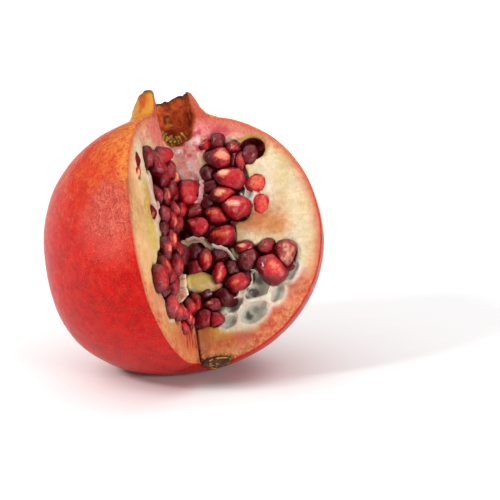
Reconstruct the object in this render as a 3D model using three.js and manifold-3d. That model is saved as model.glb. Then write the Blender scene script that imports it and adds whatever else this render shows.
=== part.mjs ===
// A ripe pomegranate resting on a table, with one wedge cut out of it from crown to stem.
//
// The husk is everything that grew as one body: the leathery rind with its crown of sepals, the
// spongy pith inside it and the thin walls between the seed chambers. The seed kernels stand packed
// on the floor of their chambers, the dried stamens stand in the crown's cup, and the woody scar of
// the stem sits in the base.
//
// Everything is first modelled in the fruit's own frame: +Z runs from the stem to the crown through
// the body's centre, and an azimuth is measured from -Y towards +X. Both cut faces contain that
// axis. A place on a face is written as [out, up]: millimetres from the axis and along it.
// The whole fruit is then leaned back, so that it lies on its resting spot at Z = 0.

import * as THREE from "three";
import { mergeVertices } from "three/addons/utils/BufferGeometryUtils.js";
import Module from "manifold-3d";

const wasm = await Module();
wasm.setup();

const deg = THREE.MathUtils.degToRad;

// ---- Driving dimensions, in millimetres and degrees ----
const BODY_RADIUS = 48.7; // at the widest ring
const TOP_REACH = 46.2; // body's centre to the shoulder, along the axis
const BASE_REACH = 44.6; // body's centre to the stem end
const TOP_SQUARENESS = 2.2; // 2 is an ellipse, more is boxier
const BASE_SQUARENESS = 2.25;
const BASE_LOPSIDED = 0.25; // the base is fuller on its -X side
const FACETS = 6; // the soft flats round the body, one to each sepal
const FACET_DEPTH = 0.008; // as a share of the radius
const FACET_AZIMUTH = 35;
const RING_STEP = 7.5; // between the body's rings, in degrees of latitude
const SHOULDER_LATITUDE = 66; // where the body hands over to the crown
const AZIMUTH_STEPS = 48;

const CROWN_BASE = 44; // height at which the sepals begin to part
const CROWN_RIM = 54.4; // height of the rim in the outline below
// Each sepal's azimuth, the height of its tip and how far the tip leans out.
const SEPALS = [
  [-148, 53.4, 0],
  [-88, 50.8, -0.4],
  [-34, 54.5, 1.2],
  [32, 54, -0.4],
  [92, 54, -2.4],
  [152, 56.6, -0.4],
];
const SEPAL_SPACING = 60;
const SEPAL_NOTCH = 2.7; // how far the rim drops halfway to the next sepal
const CUP_FLOOR = 36.4;
// The crown's section, from the shoulder up its outside, over the rim and down into the cup.
const CROWN_OUTLINE = [
  [16.8, 44.1],
  [14.2, 45.8],
  [12.5, 48.6],
  [11.9, 51.6],
  [11.4, CROWN_RIM],
  [9.7, CROWN_RIM - 0.4],
  [9.1, 49.6],
  [9.3, 45.2],
  [8.3, 41.2],
  [6.6, 37.6],
  [4.2, CUP_FLOOR],
  [0, CUP_FLOOR],
];

const CUT_LEFT = -20; // azimuth of the left cut face
const CUT_RIGHT = 80; // azimuth of the right cut face
const SLIT_WIDTH = 0.8; // where the knife ran on past the corner
const SLIT_REACH = 5;
const SLIT_TOP = -24;

const LEAN_BACK = 26; // of the axis, away from -Y
const LEAN_LEFT = 7.8; // of the axis, towards -X
const REST_HEIGHT = 45.9; // body's centre over the table, which flattens the skin under it
const REST_MIDDLE = [-4.7, 4.9]; // of that flat spot, from under the body's centre

const GAP = 0.35; // between pieces that touch

// ---- Seed chambers, drawn on the cut faces ----
const CHAMBER_DEPTH = 9;
const CHAMBER_EDGE = 2.2; // rounding of a chamber's floor
const CHAMBER_TOP = 2 * CHAMBER_EDGE; // how far the shape that hollows it stands over the face
const PACKET_FLOOR = -1.2; // height over the face of the floor that the kernels stand on
// Each chamber holds a packet of kernels. They stand in rows, and each row runs from one place to
// another and bows to one side. "lie" is the angle of a kernel's long axis on the face, in degrees
// from the outward direction.
const PACKETS = {
  arils_upper_right: {
    face: "right",
    outline: [
      [-5.5, 20.4], [2.4, 20.8], [6.7, 19.6], [9.9, 23.5], [11.2, 28], [10, 33], [12.6, 36.2],
      [17, 36.9], [21.6, 34.4], [24.3, 30.6], [24.3, 24], [24.4, 18.6], [22.6, 14.2], [23.8, 9.8],
      [21, 6.2], [17.2, 4], [17, 0], [9, -1.6], [-5.5, -1.2],
    ],
    rows: [
      { from: [17, 34.4], to: [20.6, 9.6], bow: 0.6, count: 5, lie: -12 },
      { from: [20.8, 31.6], to: [22.6, 20], bow: 0, count: 2, lie: 30, sunk: 2.2 },
      { from: [12.6, 31.6], to: [12.6, 1.6], bow: -1, count: 6, lie: 8, sunk: 0.8 },
      { from: [3.2, 17.6], to: [4.8, 2], bow: 1.4, count: 3, lie: 24 },
    ],
  },
  arils_upper_left: {
    face: "left",
    outline: [
      [-5.5, 20.4], [3, 21.4], [7.4, 24], [7, 29.4], [9.4, 33.4], [24.5, 31.8], [29.6, 28.6],
      [29, 23.6], [27.2, 18.8], [22, 13.2], [21.2, 6], [21.6, 0], [12, -1.8], [-5.5, -1.2],
    ],
    rows: [
      { from: [11.4, 30], to: [26, 28.6], bow: 0.6, count: 3, lie: 66 },
      { from: [9.8, 21.4], to: [25, 21.4], bow: -0.6, count: 3, lie: 76 },
      { from: [9.4, 14.6], to: [18.2, 12.6], bow: 0, count: 2, lie: 84 },
      { from: [6.4, 5.6], to: [18.4, 4.4], bow: 0, count: 3, lie: 80 },
    ],
  },
  arils_lower_right: {
    face: "right",
    outline: [
      [-5.5, -2.8], [9, -3.2], [15.8, -3], [17, -7.6], [19.8, -11.6], [20, -16.2], [17.6, -20.4],
      [13, -21.6], [10.4, -24.4], [9.2, -28.4], [4.6, -30.4], [-5.5, -29],
    ],
    rows: [
      { from: [2.6, -5.6], to: [14.2, -6.4], bow: 0, count: 3, lie: 62 },
      { from: [10.8, -12.4], to: [16.4, -16.8], bow: 0, count: 2, lie: 52 },
      { from: [3.6, -21.8], to: [8.6, -21.6], bow: 0, count: 2, lie: -6 },
      { from: [3.4, -27.2], to: [6.4, -26.4], bow: 0, count: 1, lie: 12 },
    ],
  },
  arils_lower_left: {
    face: "left",
    outline: [
      [-5.5, -2.8], [12, -3.4], [21.4, -3], [28.2, -7.4], [35.4, -11.6], [38, -16], [36, -20.4],
      [31.2, -23.4], [26.4, -27.6], [21, -30.6], [12, -31.4], [-5.5, -29],
    ],
    rows: [
      { from: [7.4, -7.2], to: [21.6, -7.2], bow: 0, count: 3, lie: 78 },
      { from: [16.2, -15.2], to: [33.4, -15.6], bow: 0, count: 4, lie: 84 },
      { from: [6.8, -24.6], to: [27.4, -23.2], bow: -0.6, count: 4, lie: 88 },
    ],
  },
  arils_branch: {
    face: "right",
    outline: [
      [18.8, -2.6], [26.8, -3.6], [35, -3], [39, -5.2], [39.2, -10], [36.2, -13.8], [32.8, -18.4],
      [28.4, -17.6], [24.6, -14], [21.4, -10.2], [18.6, -6.2],
    ],
    rows: [
      { from: [22.2, -6.6], to: [35.8, -8], bow: 1.2, count: 3, lie: 66 },
      { from: [25.8, -11.4], to: [31.4, -13.4], bow: 0, count: 2, lie: -34 },
    ],
  },
};

// Kernels on their own in the flesh. "cut" ones were sliced level with the face by the knife.
const LONE_KERNELS = {
  aril_top_socket: { face: "right", at: [27.6, 29.6], socket: [5.4, 4.4], lie: 70, sunk: 2.6 },
  aril_cut_upper: { face: "right", at: [27.6, 18.4], socket: [3.2, 3.1], lie: 0, cut: true },
  aril_cut_lower: { face: "right", at: [28.9, 10.4], socket: [2.5, 3.4], lie: 80, cut: true },
  aril_left_upper: { face: "left", at: [35.4, 25.2], socket: [3.1, 3.6], lie: 86, cut: true },
  aril_left_middle: { face: "left", at: [35.6, 17.6], socket: [3.2, 3.4], lie: 80, cut: true },
  aril_left_single: { face: "left", at: [26.4, 6.6], socket: [2.8, 3.2], lie: 88, cut: true },
};

// Chambers whose kernels fell out, which leave shallow papery cells.
const EMPTY_CELLS = [
  { face: "right", at: [23.8, -20], radii: [4.1, 3.5], depth: 3.6 },
  { face: "right", at: [30.4, -23.2], radii: [3.6, 3.6], depth: 2.8 },
  { face: "right", at: [19.6, -27], radii: [4.4, 3.3], depth: 3.4 },
  { face: "right", at: [13.4, -25.4], radii: [2.6, 3], depth: 3 },
  { face: "right", at: [11.6, -31.2], radii: [4.2, 2.4], depth: 2.6 },
];

const WALL_ROOT = 2; // how far a wall between kernels reaches into the pith under them

// A stub of pith in the corner between the two faces, which the knife left standing.
const CORNER_PITH = { up: -14.4, radii: [6.2, 12, 5.4] };

// A papery wall that stands among the upper kernels, drawn on the right face.
const PAPER_WALL = { from: [5.4, 21.4], bend: [13.2, 18], to: [6.4, 11.6], thickness: 0.8, top: 1.2 };

// ---- One kernel ----
const KERNEL_SIDES = 6;
// Its section, root first: [radius, distance along] for a kernel of ordinary size.
const KERNEL_OUTLINE = [
  [0, -5],
  [2.2, -3.6],
  [3.3, 0.4],
  [2.5, 3.7],
  [0, 5],
];
const SIZE_SPREAD = 0.14; // of a kernel's size, either way
const LIE_SPREAD = 16; // degrees either way
const DEPTH_SPREAD = 0.7; // millimetres either way
const LONE_SIZE = 0.95; // a whole kernel in a socket of its own
const CUT_SIZE = 1.15; // a sliced one, which shows its widest ring
const CUT_SUNK = 1.6;
const SOCKET_DEPTH = 5;

// ---- Stamens and stem scar ----
const STAMEN_COUNT = 13;
const STAMEN_LENGTHS = [4.2, 6.4];
const STAMEN_RADII = [0.36, 0.47]; // at its anther and at its foot
const ANTHER_RADIUS = 0.8;
const STAMEN_FEET = [1.6, 3.4]; // nearest and furthest from the cup's middle
const STAMEN_AZIMUTHS = [100, 320]; // the arc of the cup that is left
const STAMEN_LEANS = [12, 38];
const STAMEN_TURN = 40; // degrees either way, off the outward direction
const STAMEN_DISC = { radii: [3.7, 3.3], height: 1.2 }; // top and bottom
const STEM_SCAR = { azimuth: 104, out: 5.8, up: -42.6 };
// The scar's section: [radius, distance up].
const SCAR_OUTLINE = [
  [0, -2.6],
  [4.3, -2.6],
  [6, -1.1],
  [5.6, 1.1],
  [0, 1.8],
];

const draws = seededDraws(515);

// A repeatable stream of numbers from 0 to 1.
function seededDraws(seed) {
  let state = seed;
  return () => {
    state = (state * 16807) % 2147483647;
    return state / 2147483647;
  };
}

// A number from low to high, and one from -spread to spread.
const between = ([low, high]) => low + (high - low) * draws();
const either = (spread) => between([-spread, spread]);

// ---- Solids ----

// A closed geometry as a solid. A mirroring matrix turns every face over, so they are turned back.
function solid(geometry, matrix = new THREE.Matrix4()) {
  const bare = geometry.clone().applyMatrix4(matrix);
  bare.deleteAttribute("normal");
  bare.deleteAttribute("uv");
  const merged = mergeVertices(bare, 1e-4);
  const corners = [];
  for (let i = 0; i < merged.index.count; i += 3) {
    const [a, b, c] = [0, 1, 2].map((k) => merged.index.getX(i + k));
    if (a !== b && b !== c && c !== a) corners.push(a, ...(matrix.determinant() < 0 ? [c, b] : [b, c]));
  }
  return new wasm.Manifold(
    new wasm.Mesh({
      numProp: 3,
      vertProperties: merged.attributes.position.array,
      triVerts: new Uint32Array(corners),
    }),
  );
}

// A solid as a geometry to show.
function geometryOf(made) {
  const mesh = made.getMesh();
  const geometry = new THREE.BufferGeometry();
  geometry.setAttribute("position", new THREE.BufferAttribute(mesh.vertProperties, 3));
  geometry.setIndex(new THREE.BufferAttribute(mesh.triVerts, 1));
  return geometry.toNonIndexed();
}

const joined = (solids) => solids.reduce((sum, next) => sum.add(next));

// The largest body of a solid: trimming can leave loose scraps.
function largestBody(made) {
  return made.decompose().reduce((best, body) => (body.volume() > best.volume() ? body : best));
}

// ---- The fruit's outer form ----

// From the body's centre to its skin, for a latitude and an azimuth in radians.
function skinDistance(latitude, azimuth) {
  const upper = latitude > 0;
  const reach = upper ? TOP_REACH : BASE_REACH;
  const power = upper ? TOP_SQUARENESS : BASE_SQUARENESS - BASE_LOPSIDED * Math.sin(azimuth);
  const across = (Math.cos(latitude) / BODY_RADIUS) ** power;
  const along = (Math.abs(Math.sin(latitude)) / reach) ** power;
  const facet = Math.cos(FACETS * (azimuth - deg(FACET_AZIMUTH))) * Math.cos(latitude) ** 2;
  return (across + along) ** (-1 / power) * (1 + FACET_DEPTH * facet);
}

// The crown's rim at an azimuth in degrees: its height, and how far it leans out.
function rim(azimuth) {
  let height = 0;
  let lean = 0;
  for (const [middle, tip, leansOut] of SEPALS) {
    const away = Math.abs(THREE.MathUtils.euclideanModulo(azimuth - middle + 180, 360) - 180) / SEPAL_SPACING;
    height = Math.max(height, tip - SEPAL_NOTCH * (2 * away) ** 1.6);
    lean += leansOut * Math.max(0, 1 - away);
  }
  return { height, lean };
}

// The whole fruit before any cut: a turned form, then pushed to its uneven shape.
function wholeFruit() {
  const outline = [new THREE.Vector2(0, -skinDistance(-Math.PI / 2, 0))];
  for (let ring = -90 + RING_STEP; ring <= SHOULDER_LATITUDE; ring += RING_STEP) {
    const distance = skinDistance(deg(ring), 0);
    outline.push(new THREE.Vector2(distance * Math.cos(deg(ring)), distance * Math.sin(deg(ring))));
  }
  outline.push(...CROWN_OUTLINE.map(([radius, up]) => new THREE.Vector2(radius, up)));
  const turned = new THREE.LatheGeometry(outline, AZIMUTH_STEPS).rotateX(Math.PI / 2);
  const places = turned.attributes.position;
  const place = new THREE.Vector3();
  for (let i = 0; i < places.count; i++) {
    place.fromBufferAttribute(places, i);
    const radius = Math.hypot(place.x, place.y);
    const azimuth = Math.atan2(place.x, -place.y);
    const latitude = Math.atan2(place.z, radius);
    if (place.z > CROWN_BASE) {
      const share = (place.z - CROWN_BASE) / (CROWN_RIM - CROWN_BASE);
      const { height, lean } = rim(THREE.MathUtils.radToDeg(azimuth));
      const widened = 1 + (share ** 2 * lean) / radius;
      place.set(place.x * widened, place.y * widened, CROWN_BASE + share * (height - CROWN_BASE));
    } else if (latitude < deg(SHOULDER_LATITUDE)) {
      place.setLength(skinDistance(latitude, azimuth));
    }
    places.setXYZ(i, place.x, place.y, place.z);
  }
  return solid(turned);
}

// ---- The cut faces ----

const onAzimuth = (azimuth, radius, up = 0) =>
  new THREE.Vector3(radius * Math.sin(deg(azimuth)), -radius * Math.cos(deg(azimuth)), up);

// From a face's own [out, up, height over the face] to the fruit's frame.
const FACES = Object.fromEntries(
  [
    ["left", CUT_LEFT, 90],
    ["right", CUT_RIGHT, -90],
  ].map(([name, azimuth, quarter]) => [
    name,
    new THREE.Matrix4().makeBasis(
      onAzimuth(azimuth, 1),
      new THREE.Vector3(0, 0, 1),
      onAzimuth(azimuth + quarter, 1),
    ),
  ]),
);

// The wedge that the knife took out, with both faces moved in by a margin.
function wedge(margin) {
  const middle = (CUT_LEFT + CUT_RIGHT) / 2;
  const half = (CUT_RIGHT - CUT_LEFT) / 2;
  const reach = 4 * BODY_RADIUS;
  const tip = onAzimuth(middle, margin / Math.sin(deg(half)));
  const corners = [CUT_LEFT, middle, CUT_RIGHT].map((azimuth) => onAzimuth(azimuth, reach).add(tip));
  const section = new THREE.Shape([tip, ...corners].map((corner) => new THREE.Vector2(corner.x, corner.y)));
  const block = new THREE.ExtrudeGeometry(section, { depth: reach, bevelEnabled: false });
  return solid(block.translate(0, 0, -reach / 2));
}

// The thin slot where the knife ran past the corner, in line with the right face.
function slit() {
  const blade = new THREE.BoxGeometry(2 * SLIT_REACH, BODY_RADIUS, SLIT_WIDTH);
  blade.translate(0, SLIT_TOP - BODY_RADIUS / 2, -SLIT_WIDTH / 2);
  return solid(blade, FACES.right);
}

// A chamber with a rounded floor, drawn in by a margin all round.
function chamber({ face, outline }, margin, top = CHAMBER_TOP) {
  const shape = new THREE.Shape(outline.map(([out, up]) => new THREE.Vector2(out, up)));
  const block = new THREE.ExtrudeGeometry(shape, {
    depth: CHAMBER_DEPTH - margin + top - 2 * CHAMBER_EDGE,
    bevelThickness: CHAMBER_EDGE,
    bevelSize: CHAMBER_EDGE,
    bevelOffset: -CHAMBER_EDGE - margin,
    bevelSegments: 2,
  });
  return solid(block.translate(0, 0, margin - CHAMBER_DEPTH + CHAMBER_EDGE), FACES[face]);
}

// A rounded lump with its own three radii, placed on a face.
function lump(face, [out, up], over, radii) {
  const ball = new THREE.IcosahedronGeometry(1, 2).scale(...radii).translate(out, up, over);
  return solid(ball, FACES[face]);
}

// The socket of a lone kernel, drawn in by a margin.
const socket = ({ face, at, socket: radii, sunk = 0 }, margin) =>
  lump(face, at, -sunk, [...radii, SOCKET_DEPTH].map((radius) => radius - margin));

// The stub of pith in the corner, grown by a margin.
function cornerPith(margin) {
  const [across, deep, tall] = CORNER_PITH.radii.map((radius) => radius + margin);
  const ball = new THREE.IcosahedronGeometry(1, 2).scale(across, deep, tall);
  ball.rotateZ(deg((CUT_LEFT + CUT_RIGHT) / 2));
  return solid(ball.translate(0, 0, CORNER_PITH.up)).subtract(wedge(margin));
}

// The papery wall: a curved strip that stands on the chamber's floor, grown by a margin.
function paperWall(margin) {
  const [from, bend, to] = [PAPER_WALL.from, PAPER_WALL.bend, PAPER_WALL.to].map(
    ([out, up]) => new THREE.Vector2(out, up),
  );
  const line = new THREE.QuadraticBezierCurve(from, bend, to);
  const half = PAPER_WALL.thickness / 2 + margin;
  const side = (sign) =>
    Array.from({ length: 7 }, (_, i) => {
      const along = line.getTangent(i / 6);
      return line.getPoint(i / 6).add(new THREE.Vector2(-along.y, along.x).multiplyScalar(sign * half));
    });
  const strip = new THREE.Shape([...side(1), ...side(-1).reverse()]);
  const root = CHAMBER_DEPTH + WALL_ROOT;
  const depth = root + PAPER_WALL.top + margin;
  const wall = new THREE.ExtrudeGeometry(strip, { depth, bevelEnabled: false });
  return solid(wall.translate(0, 0, -root), FACES.right);
}

// The woody scar's own form, grown by a margin.
function scarForm(margin) {
  const outline = SCAR_OUTLINE.map(
    ([radius, up]) => new THREE.Vector2(radius && radius + margin, up + Math.sign(up) * margin),
  );
  const stub = new THREE.LatheGeometry(outline, 16).rotateX(Math.PI / 2);
  return solid(stub.translate(...onAzimuth(STEM_SCAR.azimuth, STEM_SCAR.out, STEM_SCAR.up)));
}

// ---- How the fruit rests ----

const stance = new THREE.Euler(deg(-LEAN_BACK), deg(-LEAN_LEFT), 0, "XYZ");

// Everything below the table, seen from the fruit's frame.
function belowTable() {
  const size = 4 * BODY_RADIUS;
  const toFruit = new THREE.Matrix4().makeRotationFromEuler(stance).invert();
  const block = new THREE.BoxGeometry(size, size, size).translate(0, 0, -size / 2 - REST_HEIGHT);
  return solid(block, toFruit);
}

// ---- Pieces ----

// The husk, or with a margin the space that its neighbours must keep out of.
function husk(whole, margin = 0) {
  const hollows = [
    ...Object.values(PACKETS).map((each) => chamber(each, margin)),
    ...Object.values(LONE_KERNELS).map((each) => socket(each, margin)),
  ];
  const walls = joined([cornerPith(margin), paperWall(margin)]);
  return whole.subtract(wedge(margin)).subtract(joined(hollows)).add(walls.intersect(whole));
}

function finishedHusk(whole) {
  const cells = EMPTY_CELLS.map(({ face, at, radii, depth }) => lump(face, at, 0, [...radii, depth]));
  return largestBody(
    husk(whole)
      .subtract(joined(cells))
      .subtract(slit())
      .subtract(scarForm(GAP))
      .subtract(belowTable()),
  );
}

// One kernel lying on a face.
function kernel(face, [out, up], over, lie, size) {
  const outline = KERNEL_OUTLINE.map(([radius, along]) => new THREE.Vector2(radius, along));
  const body = new THREE.LatheGeometry(outline, KERNEL_SIDES).rotateZ(-Math.PI / 2);
  body.scale(size, size, size).rotateZ(deg(lie)).translate(out, up, over);
  return solid(body, FACES[face]);
}

// The kernels of one row, evenly spaced along its bow with a little disorder.
function row(face, { from, to, bow, count, lie, sunk = 0 }) {
  const step = count > 1 ? 1 / (count - 1) : 0;
  const [dx, dy] = [to[0] - from[0], to[1] - from[1]];
  const length = Math.hypot(dx, dy);
  return Array.from({ length: count }, (_, i) => {
    const along = i * step;
    const aside = 4 * bow * along * (1 - along);
    const at = [from[0] + dx * along - (aside * dy) / length, from[1] + dy * along + (aside * dx) / length];
    return kernel(face, at, either(DEPTH_SPREAD) - sunk, lie + either(LIE_SPREAD), 1 + either(SIZE_SPREAD));
  });
}

// All that lies on the far side of the corner, where the packets on the two faces part.
function pastCorner(face) {
  const size = 4 * BODY_RADIUS;
  const middle = (CUT_LEFT + CUT_RIGHT) / 2;
  const side = face === "left" ? 1 : -1;
  const block = new THREE.BoxGeometry(size, size, size).translate((side * (size - GAP)) / 2, 0, 0);
  return solid(block.rotateZ(deg(middle)));
}

// A packet of kernels, standing on the floor of its chamber.
function packet(each, keepOut) {
  const floor = chamber(each, GAP, PACKET_FLOOR);
  const kernels = each.rows.flatMap((place) => row(each.face, place));
  return largestBody(joined([floor, ...kernels]).subtract(keepOut).subtract(pastCorner(each.face)));
}

// A kernel alone in its socket: whole, or sliced level with the face.
function loneKernel(each) {
  const { face, at, lie, cut, sunk } = each;
  const [depth, size] = cut ? [CUT_SUNK, CUT_SIZE] : [sunk, LONE_SIZE];
  const inside = kernel(face, at, -depth, lie, size).intersect(socket(each, GAP));
  return cut ? inside.subtract(wedge(0)) : inside;
}

// One stamen: a thin thread with its anther, standing up along +Z from its foot.
function stamen() {
  const length = between(STAMEN_LENGTHS);
  const thread = new THREE.CylinderGeometry(...STAMEN_RADII, length, 3).translate(0, length / 2, 0);
  const anther = new THREE.OctahedronGeometry(ANTHER_RADIUS).scale(1, 1.4, 1).translate(0, length, 0);
  return [thread, anther].map((piece) => piece.rotateX(Math.PI / 2));
}

// The dried stamens, leaning outwards from the low disc that they grow from.
function stamens(whole) {
  const { radii, height } = STAMEN_DISC;
  const disc = new THREE.CylinderGeometry(...radii, height, 14).rotateX(Math.PI / 2);
  disc.translate(0, 0, CUP_FLOOR + GAP + height / 2);
  const [first, last] = STAMEN_AZIMUTHS;
  const threads = Array.from({ length: STAMEN_COUNT }, (_, i) => {
    const azimuth = first + ((last - first) * (i + 0.5)) / STAMEN_COUNT;
    const lean = new THREE.Matrix4().makeRotationX(deg(between(STAMEN_LEANS)));
    const pose = new THREE.Matrix4().makeRotationZ(deg(azimuth + either(STAMEN_TURN))).multiply(lean);
    pose.setPosition(onAzimuth(azimuth, between(STAMEN_FEET), CUP_FLOOR + height / 2));
    return joined(stamen().map((piece) => solid(piece, pose)));
  });
  return largestBody(joined([solid(disc), ...threads]).subtract(wedge(0)).subtract(whole));
}

const stemScar = () => largestBody(scarForm(0).subtract(wedge(0)).subtract(slit()));

// ---- The finished fruit ----

const SKIN_RED = { color: 0xc4261d, roughness: 0.42, metalness: 0 };
const RUBY = { color: 0x7d0a1c, roughness: 0.14, metalness: 0 };
const RUBY_CUT = { color: 0xc04a3c, roughness: 0.3, metalness: 0 };
const STRAW = { color: 0xb08a3a, roughness: 0.8, metalness: 0 };
const WOOD = { color: 0x5a3a1c, roughness: 0.85, metalness: 0 };

const fruit = new THREE.Group();
fruit.rotation.copy(stance);
fruit.position.set(-REST_MIDDLE[0], -REST_MIDDLE[1], REST_HEIGHT);

function addPiece(name, made, finish) {
  const mesh = new THREE.Mesh(geometryOf(made), new THREE.MeshStandardMaterial(finish));
  mesh.name = name;
  fruit.add(mesh);
}

const whole = wholeFruit();
const keepOut = husk(whole, GAP);

addPiece("husk", finishedHusk(whole), SKIN_RED);
for (const [name, each] of Object.entries(PACKETS)) addPiece(name, packet(each, keepOut), RUBY);
for (const [name, each] of Object.entries(LONE_KERNELS)) {
  addPiece(name, loneKernel(each), each.cut ? RUBY_CUT : RUBY);
}
addPiece("stamens", stamens(whole), STRAW);
addPiece("stem_scar", stemScar(), WOOD);

export default fruit;
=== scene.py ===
"""A ripe pomegranate at rest, with one wedge cut out of it from crown to stem."""

import math

import bmesh
import bpy
import numpy as np
from mathutils import Matrix, Vector


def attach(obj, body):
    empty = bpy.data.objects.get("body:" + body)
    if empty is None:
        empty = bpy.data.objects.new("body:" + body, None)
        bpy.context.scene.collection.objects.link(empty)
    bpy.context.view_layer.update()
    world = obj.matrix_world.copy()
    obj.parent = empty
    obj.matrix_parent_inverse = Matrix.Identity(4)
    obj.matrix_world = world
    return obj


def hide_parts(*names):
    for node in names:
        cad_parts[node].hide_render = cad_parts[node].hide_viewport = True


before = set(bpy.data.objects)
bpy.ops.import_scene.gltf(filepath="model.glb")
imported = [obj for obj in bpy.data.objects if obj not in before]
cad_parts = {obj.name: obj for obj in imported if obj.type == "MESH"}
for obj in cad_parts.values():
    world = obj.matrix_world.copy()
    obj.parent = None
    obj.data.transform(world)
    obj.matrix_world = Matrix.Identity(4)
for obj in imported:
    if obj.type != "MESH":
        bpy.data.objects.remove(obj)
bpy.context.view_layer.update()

# ---- The husk: its form ----
# The husk grew as one body: the leathery rind with its crown of sepals, the spongy pith inside and
# the thin walls between the seed chambers. A knife took one wedge out of it, from crown to stem.

# Forms are distance fields in the fruit's own frame, in millimetres, with +Z from the stem to the
# crown and azimuths from -Y towards +X. A place on a cut face is (out, up, over): from the axis,
# along it, and above the face.
MM = 0.001
BODY_RADIUS = 48.7
TOP_REACH = 46.2
BASE_REACH = 44.6
TOP_SQUARENESS = 2.2
BASE_SQUARENESS = 2.25
BASE_LOPSIDED = 0.25
FACETS = 6
FACET_DEPTH = 0.008
FACET_AZIMUTH = math.radians(35)
DIMPLE_DEPTH, DIMPLE_RADIUS = 1.5, 8.0

CUT_LEFT = math.radians(-20)
CUT_RIGHT = math.radians(80)
LEAN_BACK = Matrix.Rotation(math.radians(-26), 3, "X")
LEAN_ASIDE = Matrix.Rotation(math.radians(-7.8), 3, "Y")
STANCE = np.array(LEAN_BACK @ LEAN_ASIDE)
CENTRE = np.array([4.7, -4.9, 45.9])


def face_axes(azimuth, quarter):
    """The outward, upward and over-the-face directions of a cut face, as rows."""
    over = azimuth + quarter
    return np.array(
        [
            [math.sin(azimuth), -math.cos(azimuth), 0],
            [0, 0, 1],
            [math.sin(over), -math.cos(over), 0],
        ]
    )


FACES = {
    "left": face_axes(CUT_LEFT, math.pi / 2),
    "right": face_axes(CUT_RIGHT, -math.pi / 2),
}


def to_world(places):
    """From the fruit's frame in millimetres to the row's frame in metres."""
    return (places @ STANCE.T + CENTRE) * MM


def smooth_max(a, b, soft):
    blend = np.clip(0.5 + 0.5 * (a - b) / soft, 0, 1)
    return b + (a - b) * blend + soft * blend * (1 - blend)


def smooth_min(a, b, soft):
    return -smooth_max(-a, -b, soft)


def smooth_step(low, high, value):
    share = np.clip((value - low) / (high - low), 0, 1)
    return share * share * (3 - 2 * share)


def lattice_noise(places, size, seed):
    """Smooth noise from -1 to 1 that changes over about that size."""
    side = 24
    lattice = np.random.default_rng(seed).uniform(-1, 1, (side, side, side))
    scaled = places / size
    whole = np.floor(scaled).astype(int)
    part = scaled - whole
    part = part * part * (3 - 2 * part)
    total = 0
    for corner in np.ndindex(2, 2, 2):
        weight = np.prod(np.where(corner, part, 1 - part), axis=-1)
        x, y, z = np.moveaxis((whole + corner) % side, -1, 0)
        total = total + weight * lattice[x, y, z]
    return total


# Each sepal's azimuth in degrees, the height of its tip and how far the tip leans out.
SEPALS = [
    (-148, 53.6, 0.0),
    (-175, 55.5, 0.0),
    (-88, 50.8, -0.4),
    (-34, 54.5, 1.2),
    (32, 54.0, -0.4),
    (92, 55.0, -2.4),
    (126, 56.2, 0.0),
    (152, 57.0, -0.4),
]
SEPAL_SPACING = 60
SEPAL_NOTCH = 2.7
CROWN_BASE, CROWN_RIM = 44.0, 54.4
# The crown's radius outside and inside, as (height, radius).
CROWN_OUTSIDE = [
    (40, 17.6), (44.1, 16.8), (45.8, 14.2), (48.6, 12.5), (51.6, 11.9), (54.4, 11.3), (58, 11.2)
]
CROWN_INSIDE = [
    (36.4, 4.6), (37.6, 6.6), (41.2, 8.3), (45.2, 9.3), (49.6, 9.1), (54, 9.8), (58, 10.2)
]
CUP_FLOOR = 36.4


def skin_field(places):
    """Distance outside the round body's skin."""
    x, y, z = np.moveaxis(places, -1, 0)
    ring = np.hypot(x, y)
    latitude = np.arctan2(z, ring)
    azimuth = np.arctan2(x, -y)
    upper = z > 0
    reach = np.where(upper, TOP_REACH, BASE_REACH)
    power = np.where(upper, TOP_SQUARENESS, BASE_SQUARENESS - BASE_LOPSIDED * np.sin(azimuth))
    across = (np.cos(latitude) / BODY_RADIUS) ** power
    along = (np.abs(np.sin(latitude)) / reach) ** power
    facet = np.cos(FACETS * (azimuth - FACET_AZIMUTH)) * np.cos(latitude) ** 2
    skin = (across + along) ** (-1 / power) * (1 + FACET_DEPTH * facet)
    skin = skin - DIMPLE_DEPTH * np.exp(-((ring / DIMPLE_RADIUS) ** 2)) * (z < 0)
    skin = skin + 0.22 * lattice_noise(places, 15.0, 1) + 0.1 * lattice_noise(places, 6.0, 2)
    return np.linalg.norm(places, axis=-1) - skin


def crown_fields(places):
    """Distance outside the crown's tube, and outside the cup within it."""
    x, y, z = np.moveaxis(places, -1, 0)
    ring = np.hypot(x, y)
    azimuth = np.degrees(np.arctan2(x, -y))
    height = np.zeros(z.shape)
    lean = np.zeros(z.shape)
    fold = np.zeros(z.shape)
    for middle, tip, leans_out in SEPALS:
        away = np.abs((azimuth - middle + 180) % 360 - 180) / SEPAL_SPACING
        height = np.maximum(height, tip - SEPAL_NOTCH * (2 * away) ** 1.6)
        lean = lean + leans_out * np.maximum(0, 1 - away)
        fold = fold + np.exp(-((away * 5) ** 2))
    share = np.clip((z - CROWN_BASE) / (CROWN_RIM - CROWN_BASE), 0, 1.2)
    ragged = 0.5 * lattice_noise(places * (1, 1, 0.2), 1.6, 3) + 0.35 * lattice_noise(places, 3.2, 4)
    outside = np.interp(z, *zip(*CROWN_OUTSIDE)) + lean * share**2 + 0.25 * fold * share
    inside = np.interp(z, *zip(*CROWN_INSIDE)) + lean * share**2
    wrinkle = 0.22 * lattice_noise(places * (1, 1, 0.35), 2.0, 5)
    tube = smooth_max(ring - outside - wrinkle * share, z - height - ragged, 0.7)
    cup = smooth_max(ring - inside - 2 * wrinkle, CUP_FLOOR - z, 2.0)
    return np.maximum(tube, 38 - z), cup, z - height - ragged


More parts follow.
